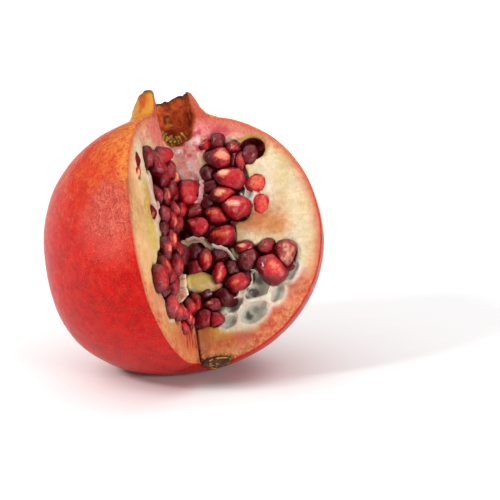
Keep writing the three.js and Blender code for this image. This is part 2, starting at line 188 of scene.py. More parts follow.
# Outlines of the seed chambers on the two faces, as (out, up) corners that are rounded off.
CHAMBER_DEPTH = 9.0
CHAMBERS = {
    "upper_right": (
        "right",
        [
            (-5.5, 20.4), (2.4, 21.4), (6.2, 24.4), (9, 24.2), (10.6, 28), (9.6, 32.6),
            (12.2, 36.2), (17, 37), (21.8, 34.8), (24.6, 31), (24.4, 24), (25.6, 19), (22.4, 14.6),
            (24.8, 9.2), (21, 5.6), (17.6, 4.6), (18.4, 0), (9, -1.6), (-5.5, -1.2),
        ],
    ),
    "upper_left": (
        "left",
        [
            (-5.5, 20.4), (1, 22.4), (1.4, 26.8), (5, 28.2), (9, 32.2), (24.5, 31.4), (29.2, 28.6),
            (28.6, 23.6), (25, 18.4), (23, 12.2), (21.2, 6), (22, 0), (12, -1.8), (-5.5, -1.2),
        ],
    ),
    "lower_right": (
        "right",
        [
            (-5.5, -2.2), (9, -2.8), (18.6, -1.6), (18.4, -7.6), (23.4, -13), (21.6, -16.8),
            (18, -20.6), (13.6, -21.6), (11, -24.4), (9.4, -29.4), (4.6, -31.4), (-5.5, -30),
        ],
    ),
    "lower_left": (
        "left",
        [
            (-5.5, -2.8), (12, -3.4), (19, 0.6), (24, -1.4), (28.4, -5.4), (31, -10.4),
            (36.8, -11.6), (37.4, -17), (33, -21), (29.6, -24.6), (22, -27.6), (14, -31.4),
            (-5.5, -30),
        ],
    ),
    "branch": (
        "right",
        [
            (18.2, -1.6), (24, -2), (31.6, -3.2), (36, -2.8), (40, -4.8), (40.2, -10.6),
            (37, -14.2), (33.4, -18), (29, -17.4), (25, -13.6), (21, -12), (18.2, -7.6),
        ],
    ),
}
# Cells whose kernels fell out: walls of their own between them, and their depth.
CELLS = [
    (
        [
            (22.8, -13.0), (26.6, -14.4), (29.2, -17.2), (27.2, -22.5), (19.4, -22.8),
            (18.8, -20.6), (22, -18),
        ],
        3.8,
    ),
    ([(30.3, -17.6), (33.2, -20.2), (32, -24.6), (27.4, -25.8), (27.9, -22.8)], 2.8),
    ([(15.2, -27), (18.5, -23.9), (26.6, -24), (25.9, -28.8), (20.6, -32), (15.6, -30.6)], 3.2),
    ([(11.8, -23.2), (17.8, -21.4), (17.8, -23.4), (14.8, -26.6), (11.8, -26.4)], 3.2),
    ([(9.8, -27.4), (14.4, -27.4), (14.8, -30.6), (10.6, -32.2), (8.6, -30.6)], 2.4),
    ([(33.6, -13.6), (38.6, -11.6), (39.4, -14.4), (36.4, -18.4), (33.8, -18.6)], 1.6),
    ([(22.6, 16.6), (25.4, 17), (27, 14), (25.4, 11.8), (23, 12.4)], 1.8),
    ([(5.4, 21), (8.6, 24), (9.6, 21.6), (7.4, 19.4)], 2.0),
]
# The round socket near the top of the right face, and the slit where the knife ran on past the
# corner of the cuts.
SOCKET_MIDDLE, SOCKET_RADII = (28.4, 30.0, -1.6), (5.0, 4.3, 5.0)
SOCKET_RIM_MIDDLE, SOCKET_RIM_RADII = (28.2, 30.2), (5.2, 4.4)
SLIT_TOP, SLIT_WIDTH, SLIT_REACH = -24.0, 0.7, 5.0
# Stubs of pith left standing among the kernels: face, middle (out, up, over), radii, how far they
# stand over the face, and the name of their colour.
CORNER_PITH = [
    ("right", (3.0, -13.8, -0.6), (5.2, 3.7, 3.0), 0.2, "gold"),
    ("right", (7.4, -16.2, -1.0), (4.2, 1.9, 2.6), 0.2, "pink"),
    ("right", (1.0, -14.6, -5.0), (7.0, 4.6, 4.4), 0.0, "gold"),
    ("right", (7.6, 21.6, -1.6), (1.9, 3.4, 2.6), 0.0, "milk"),
]
CRUMB_SIZE, CRUMB_HEIGHT = 2.4, 0.6
# The stem scar's azimuth, distance from the axis and height, and the radius and depth of its seat.
SCAR_PLACE = (104, 5.8, -42.6)
SCAR_SPACE = (5.6, 1.7)


# ---- Where the kernels lie ----
# The pith grew round its seed kernels, so their places come before its hollows. Each kernel is a
# plump rod that narrows to one end; the row gives how red its pulp is and how its seed shows. The
# kernels that lie deeper get darker tones, which are painted shade.

# (packet, out, up, over, length, width, lie in degrees, tone, glow, glow's place, paleness)
KERNELS = [
    ("upper_right", 16.4, 28.6, 0.2, 11.8, 8.2, -20, 0.30, 0.90, 0.05, 0.40),
    ("upper_right", 18.8, 21.0, 0.4, 12.8, 8.2, -20, 0.52, 0.95, -0.20, 0.85),
    ("upper_right", 15.9, 15.3, 0.0, 11.2, 6.0, -6, 0.42, 0.95, 0.00, 0.80),
    ("upper_right", 18.5, 10.6, 0.2, 12.8, 7.0, -22, 0.46, 0.90, 0.05, 0.50),
    ("upper_right", 12.0, 8.6, -1.0, 10.2, 6.2, -18, 0.62, 0.80, -0.10, 0.00),
    ("upper_right", 11.6, 23.6, -1.6, 7.4, 6.8, 40, 0.05, 0.0, 0.0, 0.0),
    ("upper_right", 12.4, 19.4, -2.0, 7.6, 6.2, 10, 0.12, 0.0, 0.0, 0.0),
    ("upper_right", 9.6, 14.2, -3.0, 8.6, 6.8, 60, 0.00, 0.0, 0.0, 0.0),
    ("upper_right", 16.6, 34.2, -0.4, 6.4, 4.6, 80, 0.16, 0.10, 0.0, 0.3),
    ("upper_right", 12.4, 34.6, -2.0, 5.8, 4.0, 30, 0.70, 0.0, 0.0, 0.0),
    ("upper_right", 21.4, 31.4, -0.6, 6.4, 5.0, 30, 0.30, 0.35, 0.2, 0.8),
    ("upper_right", 21.6, 27.2, -1.2, 7.4, 5.0, 75, 0.05, 0.0, 0.0, 0.0),
    ("upper_right", 23.4, 26.4, -0.6, 8.0, 4.0, 80, 0.62, 0.25, 0.2, 0.3),
    ("upper_right", 2.8, 17.8, 0.4, 10.6, 10.0, 16, 0.72, 0.45, -0.25, 0.0),
    ("upper_right", 4.2, 11.4, -1.4, 7.8, 6.6, 30, 0.22, 0.25, 0.0, 0.5),
    ("upper_right", 5.2, 5.8, 0.6, 9.6, 6.2, -16, 0.66, 0.60, -0.35, 0.15),
    ("upper_right", 13.0, 0.8, 0.0, 10.6, 7.4, -8, 0.40, 0.80, 0.00, 0.00),
    ("upper_right", 9.4, 3.2, -2.8, 7.0, 6.0, 80, 0.04, 0.0, 0.0, 0.0),
    ("upper_right", 19.2, 4.4, -3.0, 7.0, 5.0, -10, 0.02, 0.0, 0.0, 0.0),
    ("upper_left", 26.6, 25.6, 0.0, 9.8, 4.8, 84, 0.26, 0.15, 0.2, 0.5),
    ("upper_left", 20.6, 25.6, 0.6, 8.8, 7.4, 76, 0.30, 0.25, 0.3, 0.3),
    ("upper_left", 14.0, 29.8, 0.6, 6.4, 8.6, 60, 0.60, 0.10, 0.0, 0.0),
    ("upper_left", 9.4, 25.0, 0.4, 8.0, 6.8, 70, 0.36, 0.20, 0.0, 0.4),
    ("upper_left", 2.8, 24.6, 0.0, 8.0, 5.6, 100, 0.46, 0.85, 0.0, 0.75),
    ("upper_left", 15.2, 21.0, 0.2, 8.0, 6.4, 80, 0.26, 0.15, 0.0, 0.3),
    ("upper_left", 9.6, 18.2, 0.0, 8.6, 6.4, 80, 0.16, 0.15, 0.0, 0.2),
    ("upper_left", 3.4, 17.8, -0.8, 7.4, 6.4, 80, 0.14, 0.0, 0.0, 0.0),
    ("upper_left", 20.8, 14.6, 0.0, 8.0, 4.8, 84, 0.30, 0.15, 0.0, 0.8),
    ("upper_left", 14.8, 14.6, 0.4, 8.0, 4.8, 84, 0.30, 0.45, 0.0, 0.6),
    ("upper_left", 8.4, 11.6, 0.2, 7.6, 5.4, 84, 0.34, 0.55, 0.0, 0.3),
    ("upper_left", 2.4, 11.6, 0.4, 8.0, 6.4, 80, 0.48, 0.20, 0.0, 0.5),
    ("upper_left", 18.0, 8.0, 0.2, 8.0, 5.2, 84, 0.30, 0.10, 0.0, 0.5),
    ("upper_left", 12.4, 6.0, 0.6, 8.0, 4.6, 84, 0.46, 0.75, 0.0, 0.35),
    ("upper_left", 6.4, 6.0, 0.0, 8.0, 5.6, 84, 0.22, 0.20, 0.0, 0.3),
    ("upper_left", 19.6, 2.2, -0.6, 6.4, 4.6, 84, 0.06, 0.0, 0.0, 0.0),
    ("lower_right", 3.4, -3.6, -1.2, 7.6, 6.4, 20, 0.00, 0.0, 0.0, 0.0),
    ("lower_right", 2.4, -8.4, -0.8, 7.8, 5.2, 6, 0.30, 0.0, 0.0, 0.0),
    ("lower_right", 7.0, -6.6, 0.8, 8.0, 4.8, 78, 0.56, 0.85, 0.10, 0.15),
    ("lower_right", 12.0, -5.8, -0.8, 6.8, 5.8, 60, 0.04, 0.10, 0.0, 0.8),
    ("lower_right", 11.0, -12.6, 0.6, 9.0, 5.2, 62, 0.52, 0.85, 0.00, 0.20),
    ("lower_right", 15.8, -11.0, -1.0, 6.8, 5.6, 70, 0.02, 0.10, 0.0, 1.0),
    ("lower_right", 16.6, -16.6, 0.4, 9.4, 6.0, 22, 0.52, 0.80, 0.10, 0.10),
    ("lower_right", 20.4, -13.6, -2.6, 8.0, 5.4, 60, 0.00, 0.0, 0.0, 0.0),
    ("lower_right", 4.6, -18.6, -1.4, 6.6, 4.0, 0, 0.02, 0.0, 0.0, 0.0),
    ("lower_right", 11.2, -20.8, -1.6, 8.6, 6.4, 10, 0.02, 0.0, 0.0, 0.0),
    ("lower_right", 7.0, -22.8, 0.6, 9.8, 4.4, -14, 0.24, 0.45, -0.20, 0.45),
    ("lower_right", 1.2, -22.0, 0.4, 7.6, 5.4, 70, 0.52, 0.25, 0.0, 0.3),
    ("lower_right", 3.6, -27.2, 0.0, 8.2, 6.2, 30, 0.34, 0.10, 0.0, 0.0),
    ("lower_right", 7.4, -28.2, -0.2, 5.6, 5.0, 40, 0.50, 0.15, 0.0, 0.6),
    ("lower_left", 4.0, -4.4, -0.4, 7.4, 6.4, 80, 0.00, 0.0, 0.0, 0.0),
    ("lower_left", 15.4, -1.2, 0.6, 8.4, 4.8, 84, 0.46, 0.75, 0.0, 0.40),
    ("lower_left", 9.6, -3.6, 0.2, 7.4, 5.4, 84, 0.30, 0.15, 0.0, 0.9),
    ("lower_left", 21.0, -5.2, 0.6, 9.6, 4.8, 80, 0.40, 0.80, 0.0, 0.20),
    ("lower_left", 25.8, -11.4, 0.8, 10.4, 5.4, 82, 0.44, 0.80, 0.0, 0.15),
    ("lower_left", 31.8, -16.4, 0.4, 10.4, 6.2, 84, 0.40, 0.40, 0.1, 0.0),
    ("lower_left", 14.0, -10.0, 0.4, 8.6, 6.0, 80, 0.50, 0.20, 0.0, 0.6),
    ("lower_left", 20.0, -13.4, 0.0, 8.4, 5.6, 80, 0.40, 0.20, 0.0, 0.0),
    ("lower_left", 25.6, -20.0, -0.6, 8.0, 5.0, 84, 0.04, 0.0, 0.0, 0.0),
    ("lower_left", 24.0, -24.0, 0.8, 10.8, 5.2, 84, 0.66, 0.45, 0.0, 0.0),
    ("lower_left", 17.4, -17.8, -0.2, 9.4, 6.0, 84, 0.34, 0.15, 0.0, 0.2),
    ("lower_left", 17.8, -26.0, 0.4, 9.4, 4.4, 84, 0.66, 0.30, 0.0, 0.3),
    ("lower_left", 4.4, -23.2, 0.2, 6.6, 5.0, 80, 0.60, 0.30, 0.0, 0.3),
    ("lower_left", 13.2, -25.6, 0.8, 9.6, 3.2, 84, 0.80, 0.40, 0.2, 0.7),
    ("lower_left", 8.8, -27.0, 0.8, 10.2, 3.2, 94, 0.70, 0.45, -0.1, 0.8),
    ("lower_left", 5.2, -29.0, 0.4, 8.0, 3.0, 88, 0.60, 0.30, 0.1, 0.5),
    ("lower_left", 11.4, -30.2, -0.4, 7.0, 3.0, 97, 0.80, 0.35, 0.1, 0.4),
    ("branch", 20.6, -4.8, 0.2, 6.8, 5.6, -20, 0.34, 0.70, 0.0, 0.55),
    ("branch", 21.8, -9.4, 0.6, 8.4, 7.0, 60, 0.10, 0.20, 0.0, 0.20),
    ("branch", 28.4, -5.8, -1.2, 7.6, 5.4, 10, 0.30, 0.20, 0.0, 0.0),
    ("branch", 29.2, -13.2, 1.0, 12.0, 8.8, -60, 0.50, 0.80, 0.15, 0.15),
    ("branch", 35.2, -9.6, 0.2, 10.4, 7.0, 76, 0.20, 0.40, 0.0, 0.75),
]
# (node, face, place, length, width, lie, tone, glow, glow's place, paleness, where the knife cut it)
LONE_KERNELS = [
    ("aril_top_socket", "right", (27.1, 28.4, -2.2), 7.4, 6.2, 60, 0.16, 0.15, 0.0, 0.0, None),
    ("aril_cut_upper", "right", (27.4, 17.8, -2.2), 7.4, 6.0, -6, 0.70, 0.52, 0.05, 0.20, 2.15),
    ("aril_cut_lower", "right", (28.8, 10.0, -2.2), 7.2, 5.9, 78, 0.70, 0.48, 0.0, 0.15, 2.15),
    ("aril_left_upper", "left", (34.6, 25.0, -1.8), 6.6, 4.4, 88, 0.10, 0.1, 0.0, 0.0, 1.9),
    ("aril_left_middle", "left", (35.0, 19.6, -2.0), 6.4, 4.4, 88, 0.36, 0.9, 0.0, 0.55, 1.95),
    ("aril_left_single", "left", (26.2, 6.4, -1.8), 7.4, 4.4, 92, 0.10, 0.35, 0.0, 0.60, 1.7),
]

PLUMPNESS = 1.13
FACETS_EACH = 8
# The left face's kernels get painted light: their pulp's tone is raised.
LEFT_FACE_PAINTED_LIGHT = 0.07
KERNEL_SEED = 900
LONE_KERNELS_FROM = 800
WEDGE_MIDDLE = np.array([math.sin(math.radians(30)), -math.cos(math.radians(30)), 0])


class Kernel:
    """One kernel: where it lies, how long and wide it is, and how its pulp and seed show."""

    def __init__(self, row, number, face=None):
        self.packet, out, up, over, length, width, lie, *look = row
        self.tone, self.glow, self.glow_at, self.pale = look
        self.face = face or CHAMBERS[self.packet][0]
        draw = np.random.default_rng(KERNEL_SEED + number)
        turn = math.radians(lie + draw.uniform(-4, 4))
        tilt = math.radians(draw.uniform(-12, 12))
        level = math.cos(tilt)
        along = np.array([math.cos(turn) * level, math.sin(turn) * level, math.sin(tilt)])
        across = np.array([-math.sin(turn), math.cos(turn), 0])
        self.axes = np.stack([along, across, np.cross(along, across)]) @ FACES[self.face]
        self.middle = np.array([out, up, over]) @ FACES[self.face]
        self.radii = np.array([length / 2, width / 2, width / 2 * draw.uniform(0.9, 1.05)]) * PLUMPNESS
        self.squareness = draw.uniform(1.9, 2.3) if self.face == "left" else draw.uniform(2.1, 2.8)
        facing = FACES[self.face][2] + WEDGE_MIDDLE
        self.facing = facing / np.linalg.norm(facing)
        self.tone += LEFT_FACE_PAINTED_LIGHT if self.face == "left" else 0.0
        self.taper = draw.uniform(0.1, 0.4) * (1 if draw.uniform() < 0.7 else -1)
        self.number = number
        facets = draw.normal(size=(FACETS_EACH, 3))
        self.facets = facets / np.linalg.norm(facets, axis=1, keepdims=True)
        self.facet_at = draw.uniform(0.74, 0.97, FACETS_EACH)
        self.flat_at = None
        self.shadowed = 1.0
        self.spread = 1.0

    def reach(self, ways):
        """How far the free form reaches from its middle, for directions in the fruit's frame."""
        local = ways @ self.axes.T
        narrowing = 1 + self.taper * local[:, :1]
        tapered = np.concatenate([np.ones_like(narrowing), narrowing, narrowing], 1)
        scaled = np.abs(local / (self.radii * tapered))
        return (scaled**self.squareness).sum(1) ** (-1 / self.squareness)


front_kernels = [Kernel(row, number) for number, row in enumerate(KERNELS)]
front_kernels[-1].spread, front_kernels[-1].shadowed = 1.9, 0.6
lone_kernels = []
for number, (node, face, place, length, width, lie, *look, flat_at) in enumerate(LONE_KERNELS):
    row = (node, *place, length, width, lie, *look)
    lone_kernels.append(Kernel(row, LONE_KERNELS_FROM + number, face))
    lone_kernels[-1].flat_at = flat_at
    if flat_at and face == "right":
        lone_kernels[-1].shadowed, lone_kernels[-1].spread = 0.1, 2.4
        lone_kernels[-1].facets = []


def kernels_field(places, group, grown):
    """Distance outside the kernels' free forms, as if each lay there alone."""
    distance = np.full(places.shape[:-1], 9.0)
    for kernel in group:
        apart = places - kernel.middle
        length = np.linalg.norm(apart, axis=-1)
        near = length < kernel.radii.max() + 5
        away = np.maximum(length[near], 1e-6)
        reach = kernel.reach(apart[near] / away[:, None]) + grown
        distance[near] = smooth_min(distance[near], away - reach, 0.8)
    return distance


# ---- The husk: its hollows ----
# Chambers, cells and sockets are hollows in the pith, which the knife opened. The pith hugs the
# kernels that are still in place.


def rounded(corners, passes=3):
    """A closed outline with its corners cut again and again, until it is a curve."""
    outline = np.array(corners, float)
    for _ in range(passes):
        following = np.roll(outline, -1, axis=0)
        quarter = 0.75 * outline + 0.25 * following
        three_quarters = 0.25 * outline + 0.75 * following
        outline = np.stack([quarter, three_quarters], 1).reshape(-1, 2)
    return outline


def outline_field(corners, step=0.25):
    """A function that gives the distance outside a rounded outline, read from a plan drawn once."""
    plan_out, plan_up = np.arange(-12, 54, step), np.arange(-50, 54, step)
    out, up = np.meshgrid(plan_out, plan_up, indexing="ij")
    nearest = np.full(out.shape, 1e9)
    within = np.zeros(out.shape, bool)
    outline = rounded(corners)
    for (ax, ay), (bx, by) in zip(outline, np.roll(outline, -1, axis=0)):
        dx, dy = bx - ax, by - ay
        share = np.clip(((out - ax) * dx + (up - ay) * dy) / (dx * dx + dy * dy), 0, 1)
        nearest = np.minimum(nearest, np.hypot(out - ax - share * dx, up - ay - share * dy))
        if dy:
            within ^= ((ay > up) != (by > up)) & (out < dx * (up - ay) / dy + ax)
    plan = np.where(within, -nearest, nearest)

    def distance(out, up):
        i = np.clip((out - plan_out[0]) / step, 0, len(plan_out) - 1.001)
        j = np.clip((up - plan_up[0]) / step, 0, len(plan_up) - 1.001)
        a, b = i.astype(int), j.astype(int)
        u, v = i - a, j - b
        lower = plan[a, b] * (1 - u) + plan[a + 1, b] * u
        upper = plan[a, b + 1] * (1 - u) + plan[a + 1, b + 1] * u
        return lower * (1 - v) + upper * v

    return distance


chamber_plans = {name: (face, outline_field(corners)) for name, (face, corners) in CHAMBERS.items()}
cell_plans = [(outline_field(corners), depth) for corners, depth in CELLS]


def on_face(places, face):
    """(out, up, over) of places in the fruit's frame."""
    return np.moveaxis(places @ FACES[face].T, -1, 0)


def in_radii(at, middle, radii):
    """How far places are from a middle, counted in radii."""
    return np.sqrt(sum(((a - m) / r) ** 2 for a, m, r in zip(at, middle, radii)))


def scar_place():
    azimuth, out, up = SCAR_PLACE
    turn = math.radians(azimuth)
    return np.array([out * math.sin(turn), -out * math.cos(turn), up])


def scar_narrowing(places):
    """How much narrower the scar is on each side, from places round its middle."""
    return 1 + 0.16 * lattice_noise(places * (1, 1, 0.3), 2.4, 63)


def scar_field(places):
    """Distance outside the uneven seat of the stem scar."""
    from_scar = places - scar_place()
    scar_ring = np.hypot(from_scar[..., 0], from_scar[..., 1]) * scar_narrowing(from_scar)
    return (np.hypot(scar_ring / SCAR_SPACE[0], from_scar[..., 2] / SCAR_SPACE[1]) - 1) * SCAR_SPACE[1]


def crumbling(places):
    """How far the soft pith under the cup crumbled where the two cuts meet, from 0 to 1."""
    off_axis = np.hypot(places[..., 0], places[..., 1])
    height = places[..., 2]
    beside_cup = smooth_step(1, 4, places[..., 0]) * smooth_step(30, 34, height)
    reach = 8.5 + 4.5 * beside_cup
    top = 37 + 4 * beside_cup
    low_and_high = smooth_step(19, 22.5, height) * smooth_step(top + 1.5, top - 1.5, height)
    return smooth_step(reach + 2, reach - 2, off_axis) * low_and_high


def crumbs(places):
    """The lumps of the crumbled pith, from -1 to 1."""
    return lattice_noise(places, CRUMB_SIZE, 72)


def husk_field(places):
    """Distance outside the finished husk."""
    skin = skin_field(places)
    tube, cup, rim = crown_fields(places)
    husk = smooth_max(smooth_min(skin, tube, 1.6), -cup, 0.7)

    at = {face: on_face(places, face) for face in FACES}
    left_over = at["left"][2]
    right_out, right_up, right_over = at["right"]
    cut = np.minimum(left_over, right_over) + 0.12 * lattice_noise(places, 9.0, 6)
    husk = smooth_max(husk, cut, 0.25)

    lumpy = 0.5 * lattice_noise(places, 3.4, 7)
    ragged = lumpy + 0.75 * lattice_noise(places, 1.5, 8)
    for face, plan in chamber_plans.values():
        out, up, over = at[face]
        hollow = smooth_max(plan(out, up) + 2.2 + ragged, -over - CHAMBER_DEPTH + lumpy, 3.0)
        husk = smooth_max(husk, -hollow, 0.5)
    for plan, depth in cell_plans:
        flat = plan(right_out, right_up)
        bowl = smooth_max(flat + 0.15 * lumpy, -right_over - depth, 2.0)
        husk = smooth_max(husk, -bowl, 0.4)
    socket = in_radii(at["right"], SOCKET_MIDDLE, SOCKET_RADII)
    husk = smooth_max(husk, (1 - socket) * min(SOCKET_RADII), 0.3)
    open_side = (np.maximum(left_over, right_over) > -12) & (cut < 1)
    packed = np.full(husk.shape, 9.0)
    packed[open_side] = np.minimum(
        kernels_field(places[open_side], front_kernels, -0.3),
        kernels_field(places[open_side], lone_kernels, 0.0),
    )
    husk = smooth_max(husk, -packed, 0.25)

    for face, middle, radii, proud, _ in CORNER_PITH:
        stub = smooth_max((in_radii(at[face], middle, radii) - 1) * min(radii), cut - proud, 0.5)
        husk = smooth_min(husk, stub + 0.3 * lumpy, 1.2)

    husk = husk + CRUMB_HEIGHT * crumbling(places) * crumbs(places)

    slit = np.maximum(np.abs(right_over + SLIT_WIDTH / 2) - SLIT_WIDTH / 2, right_up - SLIT_TOP)
    slit = np.maximum(slit, np.abs(right_out + SLIT_REACH / 2 - 0.3) - SLIT_REACH / 2)
    husk = np.maximum(husk, -slit)

    husk = smooth_max(husk, -scar_field(places), 0.3)

    table = -(places @ STANCE[2] + CENTRE[2])
    return smooth_max(husk, table, 0.5)


CELL_SIZE = 0.64
BLOCK = 4


def meshed(field, low, high, size):
    """Vertices and quads of the surface where a field is 0, by surface nets on a grid of cubes."""
    blocks = np.ceil((high - low) / (BLOCK * size)).astype(int)
    middles = (np.indices(blocks).reshape(3, -1).T + 0.5) * BLOCK * size + low
    at_middle = field(middles)
    near = np.abs(at_middle) < BLOCK * size * 1.1 + 1.0
    values = np.where(at_middle < 0, -1.0, 1.0).reshape(blocks)
    for axis in range(3):
        values = np.repeat(values, BLOCK, axis=axis)
    inner = np.indices((BLOCK,) * 3).reshape(3, -1).T
    corners = np.indices(blocks).reshape(3, -1).T[near] * BLOCK
    nodes = (corners[:, None, :] + inner[None]).reshape(-1, 3)
    for part in np.array_split(nodes, max(1, len(nodes) // 300000)):
        values[tuple(part.T)] = field(part * size + low)

    inside = values < 0
    cubes_x, cubes_y, cubes_z = (side - 1 for side in values.shape)
    count = sum(
        inside[x : x + cubes_x, y : y + cubes_y, z : z + cubes_z].astype(np.int8)
        for x, y, z in np.ndindex(2, 2, 2)
    )
    split = (count > 0) & (count < 8)
    cubes = np.argwhere(split)
    number = np.full(split.shape, -1)
    number[split] = np.arange(len(cubes))
    total = np.zeros((len(cubes), 3))
    hits = np.zeros(len(cubes))
    for a in np.ndindex(2, 2, 2):
        for axis in range(3):
            if a[axis]:
                continue
            b = list(a)
            b[axis] = 1
            va = values[tuple((cubes + a).T)]
            vb = values[tuple((cubes + b).T)]
            crossed = (va < 0) != (vb < 0)
            share = np.where(crossed, va / np.where(crossed, va - vb, 1), 0)
            total += np.where(crossed[:, None], np.array(a) + share[:, None] * np.eye(3)[axis], 0)
            hits += crossed
    places = (cubes + total / hits[:, None]) * size + low

    quads = []
    for axis in range(3):
        u, v = (axis + 1) % 3, (axis + 2) % 3
        before = np.take(inside, range(inside.shape[axis] - 1), axis)
        after = np.take(inside, range(1, inside.shape[axis]), axis)
        edges = np.argwhere(before != after)
        edges = edges[(edges[:, u] > 0) & (edges[:, v] > 0)]
        ring = []
        for du, dv in ((1, 1), (0, 1), (0, 0), (1, 0)):
            cube = edges.copy()
            cube[:, u] -= du
            cube[:, v] -= dv
            ring.append(number[tuple(cube.T)])
        quad = np.stack(ring, 1)
        flip = ~before[tuple(edges.T)]
        quad[flip] = quad[flip][:, ::-1]
        quads.append(quad)
    return places, np.concatenate(quads)


def settled(field, places, size, passes=3):
    """Moves places onto the surface of a field, along its slope."""
    step = 0.05
    for _ in range(passes):
        value = field(places)
        slope = np.stack([(field(places + step * axis) - value) / step for axis in np.eye(3)], 1)
        length = np.maximum((slope**2).sum(1), 0.2)
        move = -(value / length)[:, None] * slope
        far = np.linalg.norm(move, axis=1, keepdims=True)
        places = places + move * np.minimum(1, 0.4 * size / np.maximum(far, 1e-6))
    return places


def mesh_object(name, places, faces):
    """A smooth-shaded mesh object in the row's frame, from places in the fruit's frame."""
    mesh = bpy.data.meshes.new(name)
    mesh.from_pydata(to_world(places), [], faces)
    mesh.polygons.foreach_set("use_smooth", np.ones(len(mesh.polygons), bool))
    mesh.update()
    made = bpy.data.objects.new(name, mesh)
    bpy.context.scene.collection.objects.link(made)
    return made


def set_numbers(piece, name, values):
    layer = piece.data.attributes.new(name, "FLOAT", "POINT")
    layer.data.foreach_set("value", np.ascontiguousarray(values, np.float32))


def set_vectors(piece, name, vectors):
    layer = piece.data.attributes.new(name, "FLOAT_VECTOR", "POINT")
    layer.data.foreach_set("vector", np.ascontiguousarray(vectors, np.float32).ravel())


def set_colours(piece, name, colours):
    layer = piece.data.attributes.new(name, "FLOAT_COLOR", "POINT")
    filled = np.concatenate([colours, np.ones((len(colours), 1))], 1)
    layer.data.foreach_set("color", np.ascontiguousarray(filled, np.float32).ravel())


husk_low, husk_high = np.array([-53.0, -53.0, -49.0]), np.array([53.0, 53.0, 60.0])
husk_places, husk_quads = meshed(husk_field, husk_low, husk_high, CELL_SIZE)
husk_places = settled(husk_field, husk_places, CELL_SIZE)
husk = mesh_object("husk_rind_and_pith", husk_places, husk_quads)

# ---- The husk: its finish ----
# The rind is a waxy red skin, mottled with orange, over a thin orange layer, with painted sheen,
# highlights and crease shade in places. Pith is matt cream, pink under the crown, stained by juice at
# the chambers and browned where it was bruised; painted shade darkens its chambers, socket, slit and
# right face.


def linear(red, green, blue):
    """A colour given as 0 to 255 for a screen, as light."""
    shown = np.array([red, green, blue]) / 255
    return np.where(shown > 10 / 255, ((shown + 0.055) / 1.055) ** 2.4, shown / 12.92)


PITH_CREAM = linear(236, 208, 150)
PITH_PALE = linear(242, 222, 186)
PITH_PINK = linear(238, 128, 116)
PITH_ROSE = linear(212, 66, 84)
PITH_GOLD = linear(222, 168, 78)
PITH_OLIVE = linear(224, 196, 100)
PITH_WHITE = linear(250, 238, 214)
BRUISE = linear(214, 134, 72)
BRUISE_DEEP = linear(196, 100, 50)
RIND_ORANGE = linear(228, 140, 100)
RIND_CORAL = linear(212, 88, 62)
RIND_BRICK = linear(206, 66, 56)
RIND_PEACH = linear(248, 190, 128)
RIND_STRAW = linear(234, 182, 104)
JUICE_STAIN = linear(176, 36, 46)
CHAMBER_SHADE = linear(98, 12, 24)
CELL_MILK = linear(214, 216, 194)
CELL_SHADE = linear(144, 148, 132)
CELL_HOLE_SHADE = linear(58, 60, 60)
CUP_RUST = linear(204, 82, 36)
CUP_BROWN = linear(124, 44, 24)
CUP_AMBER = linear(216, 142, 62)
RIM_BROWN = linear(62, 40, 22)
SOCKET_RIM = linear(186, 160, 70)
ISLAND_GOLD = linear(255, 214, 116)
STUB_COLOURS = {"gold": ISLAND_GOLD, "pink": linear(238, 176, 140), "milk": linear(206, 204, 182)}
DARK_PURPLE = linear(92, 26, 36)
SLIT_SHADE = linear(96, 14, 20)
CRUMB_PINK = linear(255, 178, 158)
CRUMB_WHITE_AND_GLINT = linear(255, 240, 226)
TORN_ORANGE = linear(232, 134, 74)

